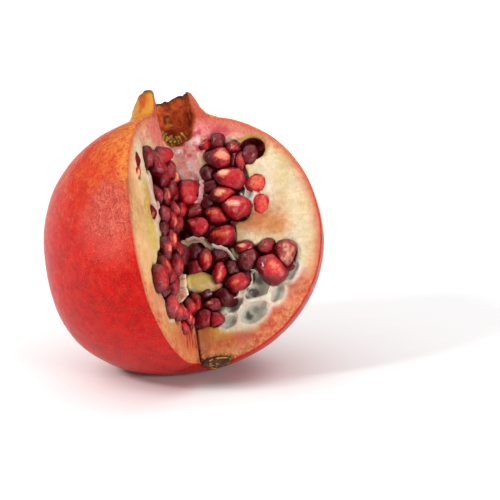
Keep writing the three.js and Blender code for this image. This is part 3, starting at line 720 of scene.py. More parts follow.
# Patches of colour on the faces: face, middle, radii, colour and strength.
PATCHES = [
    ("right", (6, 42), (24, 8), PITH_PINK, 0.95),
    ("right", (3, 30), (7, 12), PITH_PINK, 0.85),
    ("right", (8, 36), (9, 6), PITH_PINK, 0.9),
    ("right", (9, 38), (7, 6), CRUMB_PINK, 0.9),
    ("right", (15, 44), (6, 1.6), PITH_ROSE, 0.8),
    ("right", (20, 40), (12, 3.6), PITH_ROSE, 0.45),
    ("right", (6, 27), (4, 3.5), PITH_ROSE, 0.4),
    ("right", (30, 39), (16, 4.5), PITH_PINK, 0.6),
    ("left", (2.5, 31), (3, 6), PITH_WHITE, 0.3),
    ("left", (36, 6), (9, 24), RIND_PEACH, 0.5),
    ("right", (15.6, 37.0), (3, 1.4), PITH_ROSE, 0.9),
    ("right", (19, 38.6), (4, 2.0), PITH_ROSE, 0.7),
    ("right", (24.4, 26), (1.8, 6), PITH_ROSE, 0.7),
    ("right", (32, 37), (9, 4), PITH_PINK, 0.5),
    ("right", (38, 22), (5, 14), PITH_GOLD, 0.15),
    ("right", (38, 14), (5, 8), PITH_PALE, 0.5),
    ("right", (37, 21), (3, 9), PITH_OLIVE, 0.35),
    ("right", (31.6, 14.4), (2.6, 4.5), PITH_WHITE, 0.6),
    ("right", (33, 24), (5, 6), PITH_WHITE, 0.35),
    ("right", (25, 14.4), (3, 3.4), PITH_WHITE, 0.7),
    ("right", (29, 3.4), (9, 5.0), BRUISE, 0.85),
    ("right", (26, 6.4), (4, 3), BRUISE, 0.45),
    ("right", (35, 0), (5, 3), BRUISE, 0.4),
    ("right", (39, -7), (4, 6), PITH_PALE, 0.7),
    ("right", (36, 10), (3, 4), BRUISE, 0.2),
    ("right", (18.4, 4.6), (3.2, 2.6), PITH_OLIVE, 0.7),
    ("right", (38, -16), (4, 4), PITH_WHITE, 0.5),
    ("right", (38, -24), (8, 9), RIND_CORAL, 0.8),
    ("right", (31, -32), (11, 6), RIND_CORAL, 0.95),
    ("right", (20, -37), (14, 4.6), RIND_CORAL, 0.9),
    ("right", (6, -33), (8, 5), PITH_GOLD, 1.0),
    ("right", (7, -39), (9, 3.8), BRUISE, 1.0),
    ("right", (1, -35), (5, 7), RIND_CORAL, 0.6),
    ("right", (14, -37), (9, 3), RIND_CORAL, 0.5),
    ("right", (14, -42), (12, 1.6), DARK_PURPLE, 0.55),
    ("left", (12, 40), (14, 9), PITH_PINK, 0.9),
    ("left", (30, 34), (8, 6), PITH_PINK, 0.5),
    ("left", (34, 24), (6, 12), PITH_PALE, 0.8),
    ("left", (30.5, 5), (4.5, 17), PITH_OLIVE, 0.9),
    ("left", (26, 20), (2.6, 6), PITH_WHITE, 0.9),
    ("left", (24.4, 9), (2.8, 9), PITH_WHITE, 0.9),
    ("left", (43, 14), (7, 26), RIND_PEACH, 0.8),
    ("left", (38, -16), (8, 16), RIND_PEACH, 0.8),
    ("left", (14, -36), (14, 7), BRUISE, 0.9),
    ("left", (7, -34), (6, 9), PITH_ROSE, 0.85),
    ("left", (14, -32), (8, 4), PITH_ROSE, 0.6),
    ("left", (26, -33), (12, 5), PITH_GOLD, 0.6),
    ("left", (33, -26), (10, 9), RIND_ORANGE, 0.7),
    ("left", (12, -37), (12, 5), RIND_CORAL, 0.5),
    ("left", (23, -29), (2.6, 1.8), PITH_WHITE, 0.9),
]
BRUISE_MIDDLE, BRUISE_RADII = (30, 3), (9, 6)
# Spots of painted shade where the empty cells and a small hole are darkest: middle, radius and strength.
CELL_SHADE_SPOTS = [
    ((21.6, -20.4), 2.0, 1.0),
    ((24.4, -16.2), 1.6, 0.7),
    ((18.6, -28.0), 1.7, 0.9),
    ((21.5, -26.6), 1.5, 0.45),
    ((19.4, -22.0), 1.0, 0.8),
    ((13.6, -24.2), 2.2, 0.5),
    ((25.3, 9.7), 0.8, 1.0),
]


def husk_colours(places):
    """The pith's colour at each place, and how deep it lies under the skin."""
    depth = -skin_field(places)
    tube, cup, rim = crown_fields(places)
    tint = np.tile(PITH_CREAM, (len(places), 1))

    def blend(colour, share):
        tint[:] = tint + (colour - tint) * np.clip(share, 0, 1)[:, None]

    uneven = 0.5 * lattice_noise(places, 4.0, 11) + 0.35 * lattice_noise(places, 1.8, 12)
    broad = lattice_noise(places, 9.0, 13)
    speckle = lattice_noise(places, 1.1, 14)
    blend(PITH_PALE, 0.5 + 0.5 * uneven + 0.3 * broad)
    blend(PITH_OLIVE, 0.3 * smooth_step(0.0, 0.8, broad + 0.4 * uneven))
    left_over = on_face(places, "left")[2]
    right_over = on_face(places, "right")[2]
    for face, middle, radii, colour, strength in PATCHES:
        out, up, over = on_face(places, face)
        other = left_over if face == "right" else right_over
        away = in_radii((out, up), middle, radii)
        share = strength * smooth_step(1.3, 0.4, away + 0.45 * uneven + 0.12 * speckle)
        blend(colour, share * smooth_step(-3.5, -1.0, over) * smooth_step(-0.5, 1.5, other))
    low = smooth_step(0, -30, places[:, 2])
    blend(RIND_ORANGE, 0.8 * smooth_step(4.6 + 2.4 * low + 1.6 * uneven, 0.8, depth))
    blend(RIND_CORAL, 0.75 * smooth_step(2.0 + 2.0 * low + 0.8 * speckle, 0.2, depth))
    blend(RIND_BRICK, 0.75 * low * smooth_step(9, 4, depth) * smooth_step(0.05, 0.6, speckle - uneven))

    shaded_chamber = np.zeros(len(places))
    for face, plan in chamber_plans.values():
        out, up, over = on_face(places, face)
        flat = plan(out, up) + 0.9 * uneven
        near = smooth_step(-14, -9, over)
        juicy = smooth_step(0.8, -0.4, flat + 0.6 * speckle) * smooth_step(-4, 4, up)
        blend(JUICE_STAIN, 0.3 * near * juicy)
        shaded_chamber = np.maximum(shaded_chamber, near * smooth_step(0.5, -0.5, flat))
    # Painted shade: the pith is darkened down inside the chambers.
    blend(CHAMBER_SHADE, 0.95 * shaded_chamber * smooth_step(0.5, 3.0, -np.maximum(left_over, right_over)))

    for plan, _ in cell_plans:
        out, up, over = on_face(places, "right")
        flat = plan(out, up)
        within = smooth_step(-6, -3, over)
        blend(PITH_WHITE, 0.75 * within * smooth_step(2.0, 0.3, flat + 0.6 * uneven))
        blend(CELL_MILK, 0.95 * within * smooth_step(0.0, -0.9, flat))
        blend(CELL_SHADE, 0.42 * within * smooth_step(-0.5, -2.8, flat + 1.6 * uneven))
    for (out_at, up_at), size, strength in CELL_SHADE_SPOTS:
        out, up, over = on_face(places, "right")
        away = np.hypot(out - out_at, up - up_at) / size + 0.4 * speckle
        blend(CELL_HOLE_SHADE, strength * smooth_step(1.2, 0.5, away) * smooth_step(-6, -3, over))

    out, up, over = on_face(places, "right")
    away = in_radii((out, up), SOCKET_RIM_MIDDLE, SOCKET_RIM_RADII)
    outer_side = smooth_step(-2, 1, out + up - sum(SOCKET_RIM_MIDDLE))
    blend(SOCKET_RIM, 0.9 * smooth_step(1.3, 1.1, away) * outer_side)
    # Painted shade darkens the inside of the socket.
    blend(CHAMBER_SHADE, smooth_step(1.02, 0.9, away) * smooth_step(-0.3, -1.4, over))
    for face, middle, radii, _, colour in CORNER_PITH:
        out, up, over = on_face(places, face)
        scaled = in_radii((out, up), middle, radii)
        on_stub = smooth_step(1.3, 1.0, scaled + 0.1 * uneven) * smooth_step(-6, -2, over)
        on_stub = on_stub * smooth_step(5.0, 3.5, over)
        blend(STUB_COLOURS[colour], on_stub)
        if colour == "gold":
            blend(PITH_PALE, 0.7 * on_stub * smooth_step(0.1, 0.5, uneven + 0.5 * speckle))
        if colour != "milk":
            low_on_stub = smooth_step(0.0, -0.9, (up - middle[1]) / radii[1] + uneven)
            blend(RIND_CORAL, 0.6 * on_stub * low_on_stub)
    off_corner = np.hypot(places[:, 0], places[:, 1])
    # Painted shade in the slit, along the corner where the two cuts meet low down.
    blend(SLIT_SHADE, smooth_step(1.15, 0.6, off_corner) * smooth_step(-23, -25, places[:, 2]))
    crumbled = crumbling(places)
    blend(CRUMB_PINK, 0.75 * crumbled)
    mottled = lattice_noise(places, 1.5, 71) + 0.3 * broad
    blend(PITH_ROSE, 0.85 * crumbled * smooth_step(0.0, 0.5, mottled))
    # White on the crumbs' raised tops: partly white pith, partly painted highlight.
    blend(CRUMB_WHITE_AND_GLINT, 0.9 * crumbled * smooth_step(0.08, 0.45, -crumbs(places)))
    out, up, over = on_face(places, "left")
    torn = smooth_step(-2.2, -1.0, over) * smooth_step(17, 9, out + 1.5 * uneven)
    torn = torn * smooth_step(-26, -30, up) * smooth_step(1.2, 0.3, over)
    threads = lattice_noise(places * (1, 1, 0.2), 1.0, 73)
    threads = threads + 0.5 * lattice_noise(places * (1, 1, 0.3), 0.5, 74)
    blend(TORN_ORANGE, 0.6 * torn)
    threads = threads - 0.5 * smooth_step(-34, -43, up) + 0.3
    blend(JUICE_STAIN, 0.9 * torn * smooth_step(0.0, 0.4, threads))
    # Darker purple round the seat of the stem scar, and along the bottom of the right face.
    off_scar = scar_field(places)
    blend(DARK_PURPLE, 0.85 * smooth_step(1.3, 0.2, off_scar + 0.5 * uneven))
    in_cup = smooth_step(1.2, 0.3, np.abs(cup) + 0.2 * uneven) * (places[:, 2] > CUP_FLOOR - 1)
    rust = smooth_step(-0.5, 0.6, 1.2 * uneven + 0.7 * speckle + 0.2)
    blend(CUP_BROWN, in_cup)
    blend(CUP_RUST, in_cup * rust)
    blend(CUP_AMBER, 0.8 * in_cup * smooth_step(0.35, 0.9, 0.9 * speckle - 0.7 * uneven))
    blend(RIM_BROWN, in_cup * smooth_step(-1.7, -0.5, rim + 0.8 * uneven))
    # The right face is painted a little darker, as shade.
    right_face_shade = smooth_step(-0.2, 0.4, left_over - right_over) * (1 - in_cup)
    tint = tint * (1 - right_face_shade[:, None] * (0.11, 0.07, 0.0))
    return tint, depth, in_cup, tube, rim, uneven


tint, depth, in_cup, from_tube, from_rim, uneven = husk_colours(husk_places)
ring = np.hypot(husk_places[:, 0], husk_places[:, 1])
crown = smooth_step(43.5, 46.5, husk_places[:, 2]) * (ring < 18)
depth = np.where(crown > 0.3, np.where(in_cup > 0.3, 6.0, np.maximum(-from_tube, 0)), depth)
set_colours(husk, "tint", tint)
low_down = smooth_step(6, -34, husk_places[:, 2])
high_up = smooth_step(22, 36, husk_places[:, 2])
by_skin = smooth_step(8.0 + 3 * low_down, 1.0, depth + 2 * uneven)
right_out, right_up, right_over = on_face(husk_places, "right")
off_bruise = in_radii((right_out, right_up), BRUISE_MIDDLE, BRUISE_RADII)
bruised = smooth_step(1.3, 0.3, off_bruise) * (right_over > -3)
redden = np.clip(0.25 + by_skin * (0.35 + 0.65 * low_down) + 0.6 * high_up + 0.7 * bruised, 0, 1)
rose_and_sheen = np.clip(high_up * 1.2, 0, 1)[:, None]
golden = (low_down * by_skin)[:, None]
fleck_colour = RIND_CORAL + (PITH_ROSE - RIND_CORAL) * rose_and_sheen + (RIND_STRAW - RIND_CORAL) * golden
fleck_colour = fleck_colour * (1 - bruised[:, None]) + BRUISE_DEEP * bruised[:, None]
fleck_colour = fleck_colour + (CUP_BROWN - fleck_colour) * in_cup[:, None]
set_colours(husk, "fleck_colour", fleck_colour)
set_numbers(husk, "flecked", np.clip(redden + in_cup, 0, 1))
set_numbers(husk, "depth", np.maximum(depth, 0))
set_numbers(husk, "crown", crown * (1 - in_cup))
set_numbers(husk, "tip", crown * smooth_step(-1.6, -0.3, from_rim + 0.9 * uneven))
# The scuffed patch of skin, and round it a pinkish patch of painted highlight.
SCUFF_PLACE, SCUFF_RADIUS = (-20.5, -42.8, 5.4), 12
SHEEN_PATCH_PLACE, SHEEN_PATCH_RADII = (-23.5, -41.8, 1.0), (12, 12, 14)
latitude = np.arctan2(husk_places[:, 2], ring)
azimuth = np.arctan2(husk_places[:, 0], -husk_places[:, 1])
wander = 0.22 * lattice_noise(husk_places, 12.0, 21) + 0.12 * lattice_noise(husk_places, 4.0, 22)
beside_cut = smooth_step(math.radians(-52), math.radians(-22), azimuth) * (azimuth < 0)
beside_cut = beside_cut + smooth_step(math.radians(106), math.radians(82), azimuth) * (azimuth > 0)
blushing = latitude + wander + 0.45 * beside_cut * (latitude > -0.1)
set_numbers(husk, "blush", smooth_step(0.0, 1.0, blushing))
# The skin is a lighter red, with more orange, towards the top.
set_numbers(husk, "upper_skin", 0.6 * smooth_step(-0.6, 0.2, latitude + wander))
off_scuff = np.linalg.norm((husk_places - SCUFF_PLACE) / SCUFF_RADIUS, axis=1)
set_numbers(husk, "scuffed", smooth_step(1.25, 0.4, off_scuff + 1.5 * wander))
off_sheen_patch = np.linalg.norm((husk_places - SHEEN_PATCH_PLACE) / SHEEN_PATCH_RADII, axis=1)
set_numbers(husk, "rose_and_sheen", smooth_step(1.4, 0.3, off_sheen_patch + 1.2 * wander))
# Painted sheen: pinkish streaks where the skin reflects its bright surroundings, at the left limb and
# beside the right cut.
painted_sheen = smooth_step(math.radians(-68), math.radians(-90), azimuth + 0.4 * wander)
painted_sheen = painted_sheen * smooth_step(math.radians(-125), math.radians(-95), azimuth)
painted_sheen = painted_sheen * smooth_step(0.8, 0.4, np.abs(latitude))
right_of_cut = smooth_step(math.radians(97), math.radians(84), azimuth) * (azimuth > 0)
set_numbers(husk, "painted_sheen", painted_sheen + 0.9 * right_of_cut * (latitude > -0.5))
amber = smooth_step(0.1, 0.7, latitude + wander) * beside_cut
amber = amber + 0.5 * smooth_step(0.8, 1.3, latitude + wander)
cut_edge = smooth_step(math.radians(-29), math.radians(-22), azimuth + 0.3 * wander) * (azimuth < 0)
amber = np.maximum(amber, cut_edge * smooth_step(0.0, 0.35, latitude + 0.5 * wander))
set_numbers(husk, "amber", amber)
set_vectors(husk, "fruit", husk_places)
# The pith's fibres run outwards from the middle of each face.
FIBRE_MIDDLE = (14, 2)
left_out, _, left_over = on_face(husk_places, "left")
on_left = left_over > right_over
face_out = np.where(on_left, left_out, right_out) - FIBRE_MIDDLE[0]
face_up = husk_places[:, 2] - FIBRE_MIDDLE[1]
off_middle = np.hypot(face_out, face_up)
fibre_turn = np.arctan2(face_up, np.abs(face_out)) * 11
fibre_layer = 0.5 * np.where(on_left, 30, right_over)
set_vectors(husk, "fibre", np.stack([0.42 * off_middle, fibre_turn, fibre_layer], 1))
# The skin's streaks run from the crown to the stem, so their noise is long that way.
meridian = husk_places * (30, 30, 0.18)
meridian[:, :2] /= (ring + 3)[:, None]
set_vectors(husk, "meridian", meridian)


def new_material(name):
    """A material with its tree and its Principled BSDF."""
    material = bpy.data.materials.new(name)
    material.use_nodes = True
    tree = material.node_tree
    return material, tree, tree.nodes["Principled BSDF"]


def attribute(tree, name, output="Fac"):
    made = tree.nodes.new("ShaderNodeAttribute")
    made.attribute_name = name
    return made.outputs[output]


def put(tree, socket, value):
    """Links a socket to a value's socket, or sets it to a plain value."""
    if isinstance(value, bpy.types.NodeSocket):
        tree.links.new(value, socket)
    elif hasattr(socket.default_value, "__len__") and not np.isscalar(value):
        values = list(value) + [1.0] * (len(socket.default_value) - len(value))
        socket.default_value = values
    else:
        socket.default_value = value


def grain_group():
    """A shader group: the uneven growth that rind, pith, pulp, film and wood all show."""
    group = bpy.data.node_groups.new("natural_grain", "ShaderNodeTree")
    group.interface.new_socket("Place", in_out="INPUT", socket_type="NodeSocketVector")
    for name in ("Scale", "Detail", "Roughness", "Distortion"):
        group.interface.new_socket(name, in_out="INPUT", socket_type="NodeSocketFloat")
    group.interface.new_socket("Grain", in_out="OUTPUT", socket_type="NodeSocketFloat")
    given = group.nodes.new("NodeGroupInput")
    made = group.nodes.new("ShaderNodeTexNoise")
    result = group.nodes.new("NodeGroupOutput")
    group.links.new(given.outputs["Place"], made.inputs["Vector"])
    for name in ("Scale", "Detail", "Roughness", "Distortion"):
        group.links.new(given.outputs[name], made.inputs[name])
    group.links.new(made.outputs["Fac"], result.inputs["Grain"])
    return group


natural_grain = grain_group()


def noise(tree, places, scale, detail=3.0, rough=0.55, distortion=0.0):
    """Places the grain group, with its own values."""
    made = tree.nodes.new("ShaderNodeGroup")
    made.node_tree = natural_grain
    put(tree, made.inputs["Place"], places)
    made.inputs["Scale"].default_value = scale
    made.inputs["Detail"].default_value = detail
    made.inputs["Roughness"].default_value = rough
    made.inputs["Distortion"].default_value = distortion
    return made.outputs["Grain"]


def stretched(tree, places, scale):
    made = tree.nodes.new("ShaderNodeMapping")
    put(tree, made.inputs["Vector"], places)
    made.inputs["Scale"].default_value = scale
    return made.outputs["Vector"]


def ramp(tree, value, low, high, to_low=0.0, to_high=1.0):
    made = tree.nodes.new("ShaderNodeMapRange")
    made.interpolation_type = "SMOOTHSTEP"
    for name, number in (("From Min", low), ("From Max", high), ("To Min", to_low), ("To Max", to_high)):
        made.inputs[name].default_value = number
    put(tree, made.inputs["Value"], value)
    return made.outputs["Result"]


def distance_from(tree, places, middle):
    made = tree.nodes.new("ShaderNodeVectorMath")
    made.operation = "DISTANCE"
    put(tree, made.inputs[0], places)
    made.inputs[1].default_value = middle
    return made.outputs["Value"]


def math_node(tree, how, a, b=0.0):
    made = tree.nodes.new("ShaderNodeMath")
    made.operation = how
    put(tree, made.inputs[0], a)
    put(tree, made.inputs[1], b)
    return made.outputs[0]


def times(tree, a, b):
    return math_node(tree, "MULTIPLY", a, b)


def plus(tree, a, b):
    return math_node(tree, "ADD", a, b)


def mixed(tree, share, a, b, how="MIX"):
    made = tree.nodes.new("ShaderNodeMix")
    made.data_type = "RGBA"
    made.blend_type = how
    put(tree, made.inputs["Factor"], share)
    put(tree, made.inputs["A"], a)
    put(tree, made.inputs["B"], b)
    return made.outputs["Result"]


def bumped(tree, height, distance, strength=1.0):
    made = tree.nodes.new("ShaderNodeBump")
    put(tree, made.inputs["Height"], height)
    made.inputs["Distance"].default_value = distance
    made.inputs["Strength"].default_value = strength
    return made.outputs["Normal"]


SKIN_RED = linear(214, 10, 8)
SKIN_DEEP = linear(172, 2, 6)
SCUFF_GLINT = linear(238, 130, 98)
SHEEN_PINK = linear(224, 128, 118)
LENTICEL_AND_GLINT = linear(248, 168, 140)
SKIN_ROSE = linear(222, 84, 72)
SKIN_ORANGE = linear(224, 74, 34)
SKIN_AMBER = linear(234, 150, 66)
SPECK_OLIVE = linear(120, 74, 34)
SPECK_PALE = linear(240, 160, 130)
CROWN_AMBER = linear(222, 150, 54)
CROWN_RUST = linear(206, 92, 34)
TIP_OLIVE = linear(104, 84, 34)
# Small blemishes on the skin: place, radius in millimetres and colour.
SPECKS = [
    ((-17.9, -37.7, -23.6), 1.3, SPECK_OLIVE),
    ((-29.1, -30.2, -23.4), 0.6, SPECK_PALE),
    ((-23.0, -34.0, -24.9), 0.6, SPECK_PALE),
    ((-25.6, -32.2, -26.2), 0.4, SPECK_PALE),
]

husk_material, tree, shader = new_material("rind_and_pith")
fruit = attribute(tree, "fruit", "Vector")
flecks = noise(tree, fruit, 0.75, 5.0, 0.72)
clouds = noise(tree, fruit, 0.10, 4.0, 0.6, 0.4)
mottles = noise(tree, fruit, 0.24, 5.0, 0.62, 0.5)
embers = noise(tree, fruit, 0.36, 4.0, 0.6, 0.2)
fine = noise(tree, fruit, 1.5, 4.0, 0.65)
grains = noise(tree, fruit, 2.6, 3.0, 0.6)
streaks = noise(tree, attribute(tree, "meridian", "Vector"), 1.4, 4.0, 0.6)
sheen_lines = noise(tree, attribute(tree, "meridian", "Vector"), 1.1, 5.0, 0.65, 0.3)
scuffed = attribute(tree, "scuffed")
upper_skin = attribute(tree, "upper_skin")
blush = attribute(tree, "blush")
mottled_share = ramp(tree, mottles, 0.36, 0.62, 0.0, 0.6)
red_share = plus(tree, mottled_share, times(tree, upper_skin, 0.7))
skin = mixed(tree, red_share, SKIN_DEEP, SKIN_RED)
ember_share = ramp(tree, embers, 0.46, 0.74, 0.0, 0.75)
ember_share = times(tree, ember_share, plus(tree, upper_skin, 0.2))
skin = mixed(tree, ember_share, skin, SKIN_ORANGE)
skin = mixed(tree, ramp(tree, streaks, 0.5, 0.75, 0.0, 0.12), skin, SKIN_ROSE)
skin = mixed(tree, ramp(tree, fine, 0.52, 0.72, 0.0, 0.24), skin, SKIN_ORANGE)
skin = mixed(tree, ramp(tree, grains, 0.52, 0.7, 0.0, 0.14), skin, SKIN_ROSE)
blush_share = times(tree, blush, ramp(tree, flecks, 0.36, 0.6, 0.2, 0.9))
skin = mixed(tree, blush_share, skin, SKIN_ORANGE)
gold_share = times(tree, blush, ramp(tree, embers, 0.46, 0.64, 0.0, 0.5))
skin = mixed(tree, times(tree, gold_share, ramp(tree, fine, 0.4, 0.6)), skin, SKIN_AMBER)
amber_share = times(tree, attribute(tree, "amber"), ramp(tree, flecks, 0.3, 0.66))
skin = mixed(tree, amber_share, skin, SKIN_AMBER)
# Painted highlight: a pinkish patch round the scuffed one.
sheen_patch_share = times(tree, attribute(tree, "rose_and_sheen"), ramp(tree, fine, 0.3, 0.65, 0.45, 0.75))
skin = mixed(tree, sheen_patch_share, skin, SKIN_ROSE)
# Painted sheen on the skin, in pinkish streak lines.
sheen_share = times(tree, attribute(tree, "painted_sheen"), ramp(tree, sheen_lines, 0.4, 0.75, 0.08, 0.42))
skin = mixed(tree, sheen_share, skin, SHEEN_PINK)
wrinkles = noise(tree, stretched(tree, fruit, (1, 1, 0.6)), 0.4, 3.0, 0.55, 1.6)
off_crack = math_node(tree, "ABSOLUTE", math_node(tree, "SUBTRACT", wrinkles, 0.47))
# On the scuffed patch, painted highlights light the folds' raised edges and painted shade darkens their
# creases.
fold_glint_share = times(tree, ramp(tree, wrinkles, 0.485, 0.53), ramp(tree, wrinkles, 0.66, 0.55))
fold_glint_share = times(tree, scuffed, fold_glint_share)
fold_glint_share = times(tree, fold_glint_share, ramp(tree, fine, 0.4, 0.6, 0.2, 0.6))
skin = mixed(tree, fold_glint_share, skin, SCUFF_GLINT)
crease_shade_share = times(tree, scuffed, ramp(tree, off_crack, 0.0, 0.03, 0.5, 0.0))
skin = mixed(tree, crease_shade_share, skin, SKIN_DEEP)
for place, radius, colour in SPECKS:
    near = ramp(tree, distance_from(tree, fruit, place), 0.4 * radius, 1.2 * radius, 0.85, 0.0)
    skin = mixed(tree, near, skin, colour)
# Pale lenticels dot all the skin; more of them lie in the painted highlight patch, where they are
# painted glints.
dots = noise(tree, fruit, 3.4, 2.0, 0.5)
lenticel_glint_share = plus(tree, 0.25, times(tree, attribute(tree, "rose_and_sheen"), 0.5))
skin = mixed(tree, times(tree, lenticel_glint_share, ramp(tree, dots, 0.6, 0.7)), skin, LENTICEL_AND_GLINT)
crown_skin = mixed(tree, ramp(tree, clouds, 0.46, 0.62), CROWN_AMBER, CROWN_RUST)
crown_skin = mixed(tree, ramp(tree, fine, 0.58, 0.75, 0.0, 0.35), crown_skin, TIP_OLIVE)
crown_skin = mixed(tree, attribute(tree, "tip"), crown_skin, TIP_OLIVE)
skin = mixed(tree, attribute(tree, "crown"), skin, crown_skin)
fibres = noise(tree, attribute(tree, "fibre", "Vector"), 1.0, 4.0, 0.6)
grit = noise(tree, fruit, 0.75, 5.0, 0.7, 0.8)
fibre_light = ramp(tree, fibres, 0.25, 0.75, 0.8, 1.2)
mottle_light = ramp(tree, mottles, 0.3, 0.7, 0.88, 1.1)
pith = mixed(tree, 0.35, attribute(tree, "tint", "Color"), fibre_light, "MULTIPLY")
pith = mixed(tree, 0.7, pith, mottle_light, "MULTIPLY")
crumb_share = times(tree, attribute(tree, "flecked"), ramp(tree, grit, 0.46, 0.68, 0.0, 0.8))
pith = mixed(tree, crumb_share, pith, attribute(tree, "fleck_colour", "Color"))
cut_share = ramp(tree, attribute(tree, "depth"), 0.15, 0.7)
put(tree, shader.inputs["Base Color"], mixed(tree, cut_share, skin, pith))
put(tree, shader.inputs["Roughness"], ramp(tree, cut_share, 0.0, 1.0, 0.2, 0.6))
shader.inputs["Specular IOR Level"].default_value = 0.08
shader.inputs["Subsurface Weight"].default_value = 0.08
shader.inputs["Subsurface Radius"].default_value = (1.0, 0.45, 0.25)
shader.inputs["Subsurface Scale"].default_value = 0.001
pores = noise(tree, fruit, 0.9, 5.0, 0.62)
folds = times(tree, streaks, 1.6)
relief = times(tree, wrinkles, ramp(tree, scuffed, 0.0, 1.0, 1.6, 8.0))
relief = plus(tree, plus(tree, relief, pores), folds)
relief = plus(tree, relief, times(tree, grains, 0.6))
relief = plus(tree, relief, times(tree, sheen_share, 1.5))
relief = math_node(tree, "SUBTRACT", relief, times(tree, crease_shade_share, 3.0))
put(tree, shader.inputs["Normal"], bumped(tree, relief, 0.0005, 0.7))
gloss_share = times(tree, scuffed, ramp(tree, cut_share, 0.0, 1.0, 0.4, 0.0))
put(tree, shader.inputs["Coat Weight"], gloss_share)
shader.inputs["Coat Roughness"].default_value = 0.7
husk.data.materials.append(husk_material)
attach(husk, "root")
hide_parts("husk")

# ---- The seed kernels ----
# Each kernel is a glassy red pulp round a pale seed, pressed flat against its neighbours. They
# stand on the floor of their chamber, held by a short root, a packet to each chamber.

NEIGHBOUR_REACH = 14.0
KERNEL_GAP = 0.06
SOFT_EDGES = 14.0
SIDEWAYS = 0.02
BACK_ROW_SPACING = 6.0
BACK_ROW_RISE = 0.87 * BACK_ROW_SPACING
BACK_ROW_OUT, BACK_ROW_UP, BACK_ROW_OVER = (-2, 42), (-34, 40), -4.6
BACK_ROW_INSIDE = -1.6
BACK_ROW_SEED = 70
BACK_ROW_FROM, BACK_ROW_STEP = 200, 100


def ball(detail):
    """Unit directions and triangles of an evenly divided ball."""
    grid = bmesh.new()
    bmesh.ops.create_icosphere(grid, subdivisions=detail, radius=1)
    directions = np.array([v.co[:] for v in grid.verts])
    faces = np.array([[v.index for v in f.verts] for f in grid.faces])
    grid.free()
    return directions, faces


def pressed_by(ways, way, wall, hardness=SOFT_EDGES):
    """What a flat wall across a way adds to the limit on a kernel's reach."""
    facing = ways @ way
    return np.where(facing > SIDEWAYS, (wall / np.maximum(facing, SIDEWAYS)) ** -hardness, 0)


def pressed_form(kernel, neighbours, ways):
    """Places of one kernel's skin, flat where it meets its neighbours or the knife."""
    free = kernel.reach(ways)
    limit = free**-SOFT_EDGES
    for other in neighbours:
        apart = other.middle - kernel.middle
        distance = np.linalg.norm(apart)
        if other is kernel or distance > NEIGHBOUR_REACH:
            continue
        way = apart / distance
        own, their = kernel.reach(way[None])[0], other.reach(-way[None])[0]
        limit += pressed_by(ways, way, distance * own / (own + their) - KERNEL_GAP)
    for way, share in zip(kernel.facets, kernel.facet_at):
        limit += pressed_by(ways, way, share * kernel.reach(way[None])[0])
    if kernel.flat_at is not None:
        limit += pressed_by(ways, FACES[kernel.face][2], kernel.flat_at, 4 * SOFT_EDGES)
    reach = limit ** (-1 / SOFT_EDGES)
    dents = 1 + 0.055 * lattice_noise(ways * 2 + kernel.number * 7.3, 1.0, 40)
    dents = dents + 0.02 * lattice_noise(ways * 5 + kernel.number * 1.3, 1.0, 44)
    return kernel.middle + ways * (reach * dents)[:, None], reach / free


def back_row(packet, first_number):
    """Kernels deeper in a chamber, that close the gaps between those in front, painted dark as shade."""
    face, plan = chamber_plans[packet]
    draw = np.random.default_rng(BACK_ROW_SEED + first_number)
    row = []
    for step_up, up in enumerate(np.arange(*BACK_ROW_UP, BACK_ROW_RISE)):
        first_out = BACK_ROW_OUT[0] + (step_up % 2) * BACK_ROW_SPACING / 2
        for out in np.arange(first_out, BACK_ROW_OUT[1], BACK_ROW_SPACING):
            at_out, at_up = out + draw.uniform(-0.8, 0.8), up + draw.uniform(-0.8, 0.8)
            if plan(at_out, at_up) > BACK_ROW_INSIDE:
                continue
            size = draw.uniform(7.6, 9.2), draw.uniform(6.4, 7.4)
            over = BACK_ROW_OVER + draw.uniform(-0.5, 0.5)
            # Their pulp is painted dark, as shade, and has no glow.
            look = draw.uniform(0.0, 0.26), 0.0, 0.0, 0.0
            lie = draw.uniform(0, 180)
            kernel = Kernel((packet, at_out, at_up, over, *size, lie, *look), first_number + len(row))
            row.append(kernel)
    return row


# The side of a kernel, low at the right, where painted light brightens the pulp as if light left it.
PAINTED_LIGHT_SIDE = np.array([0.55, -0.55, -0.62])


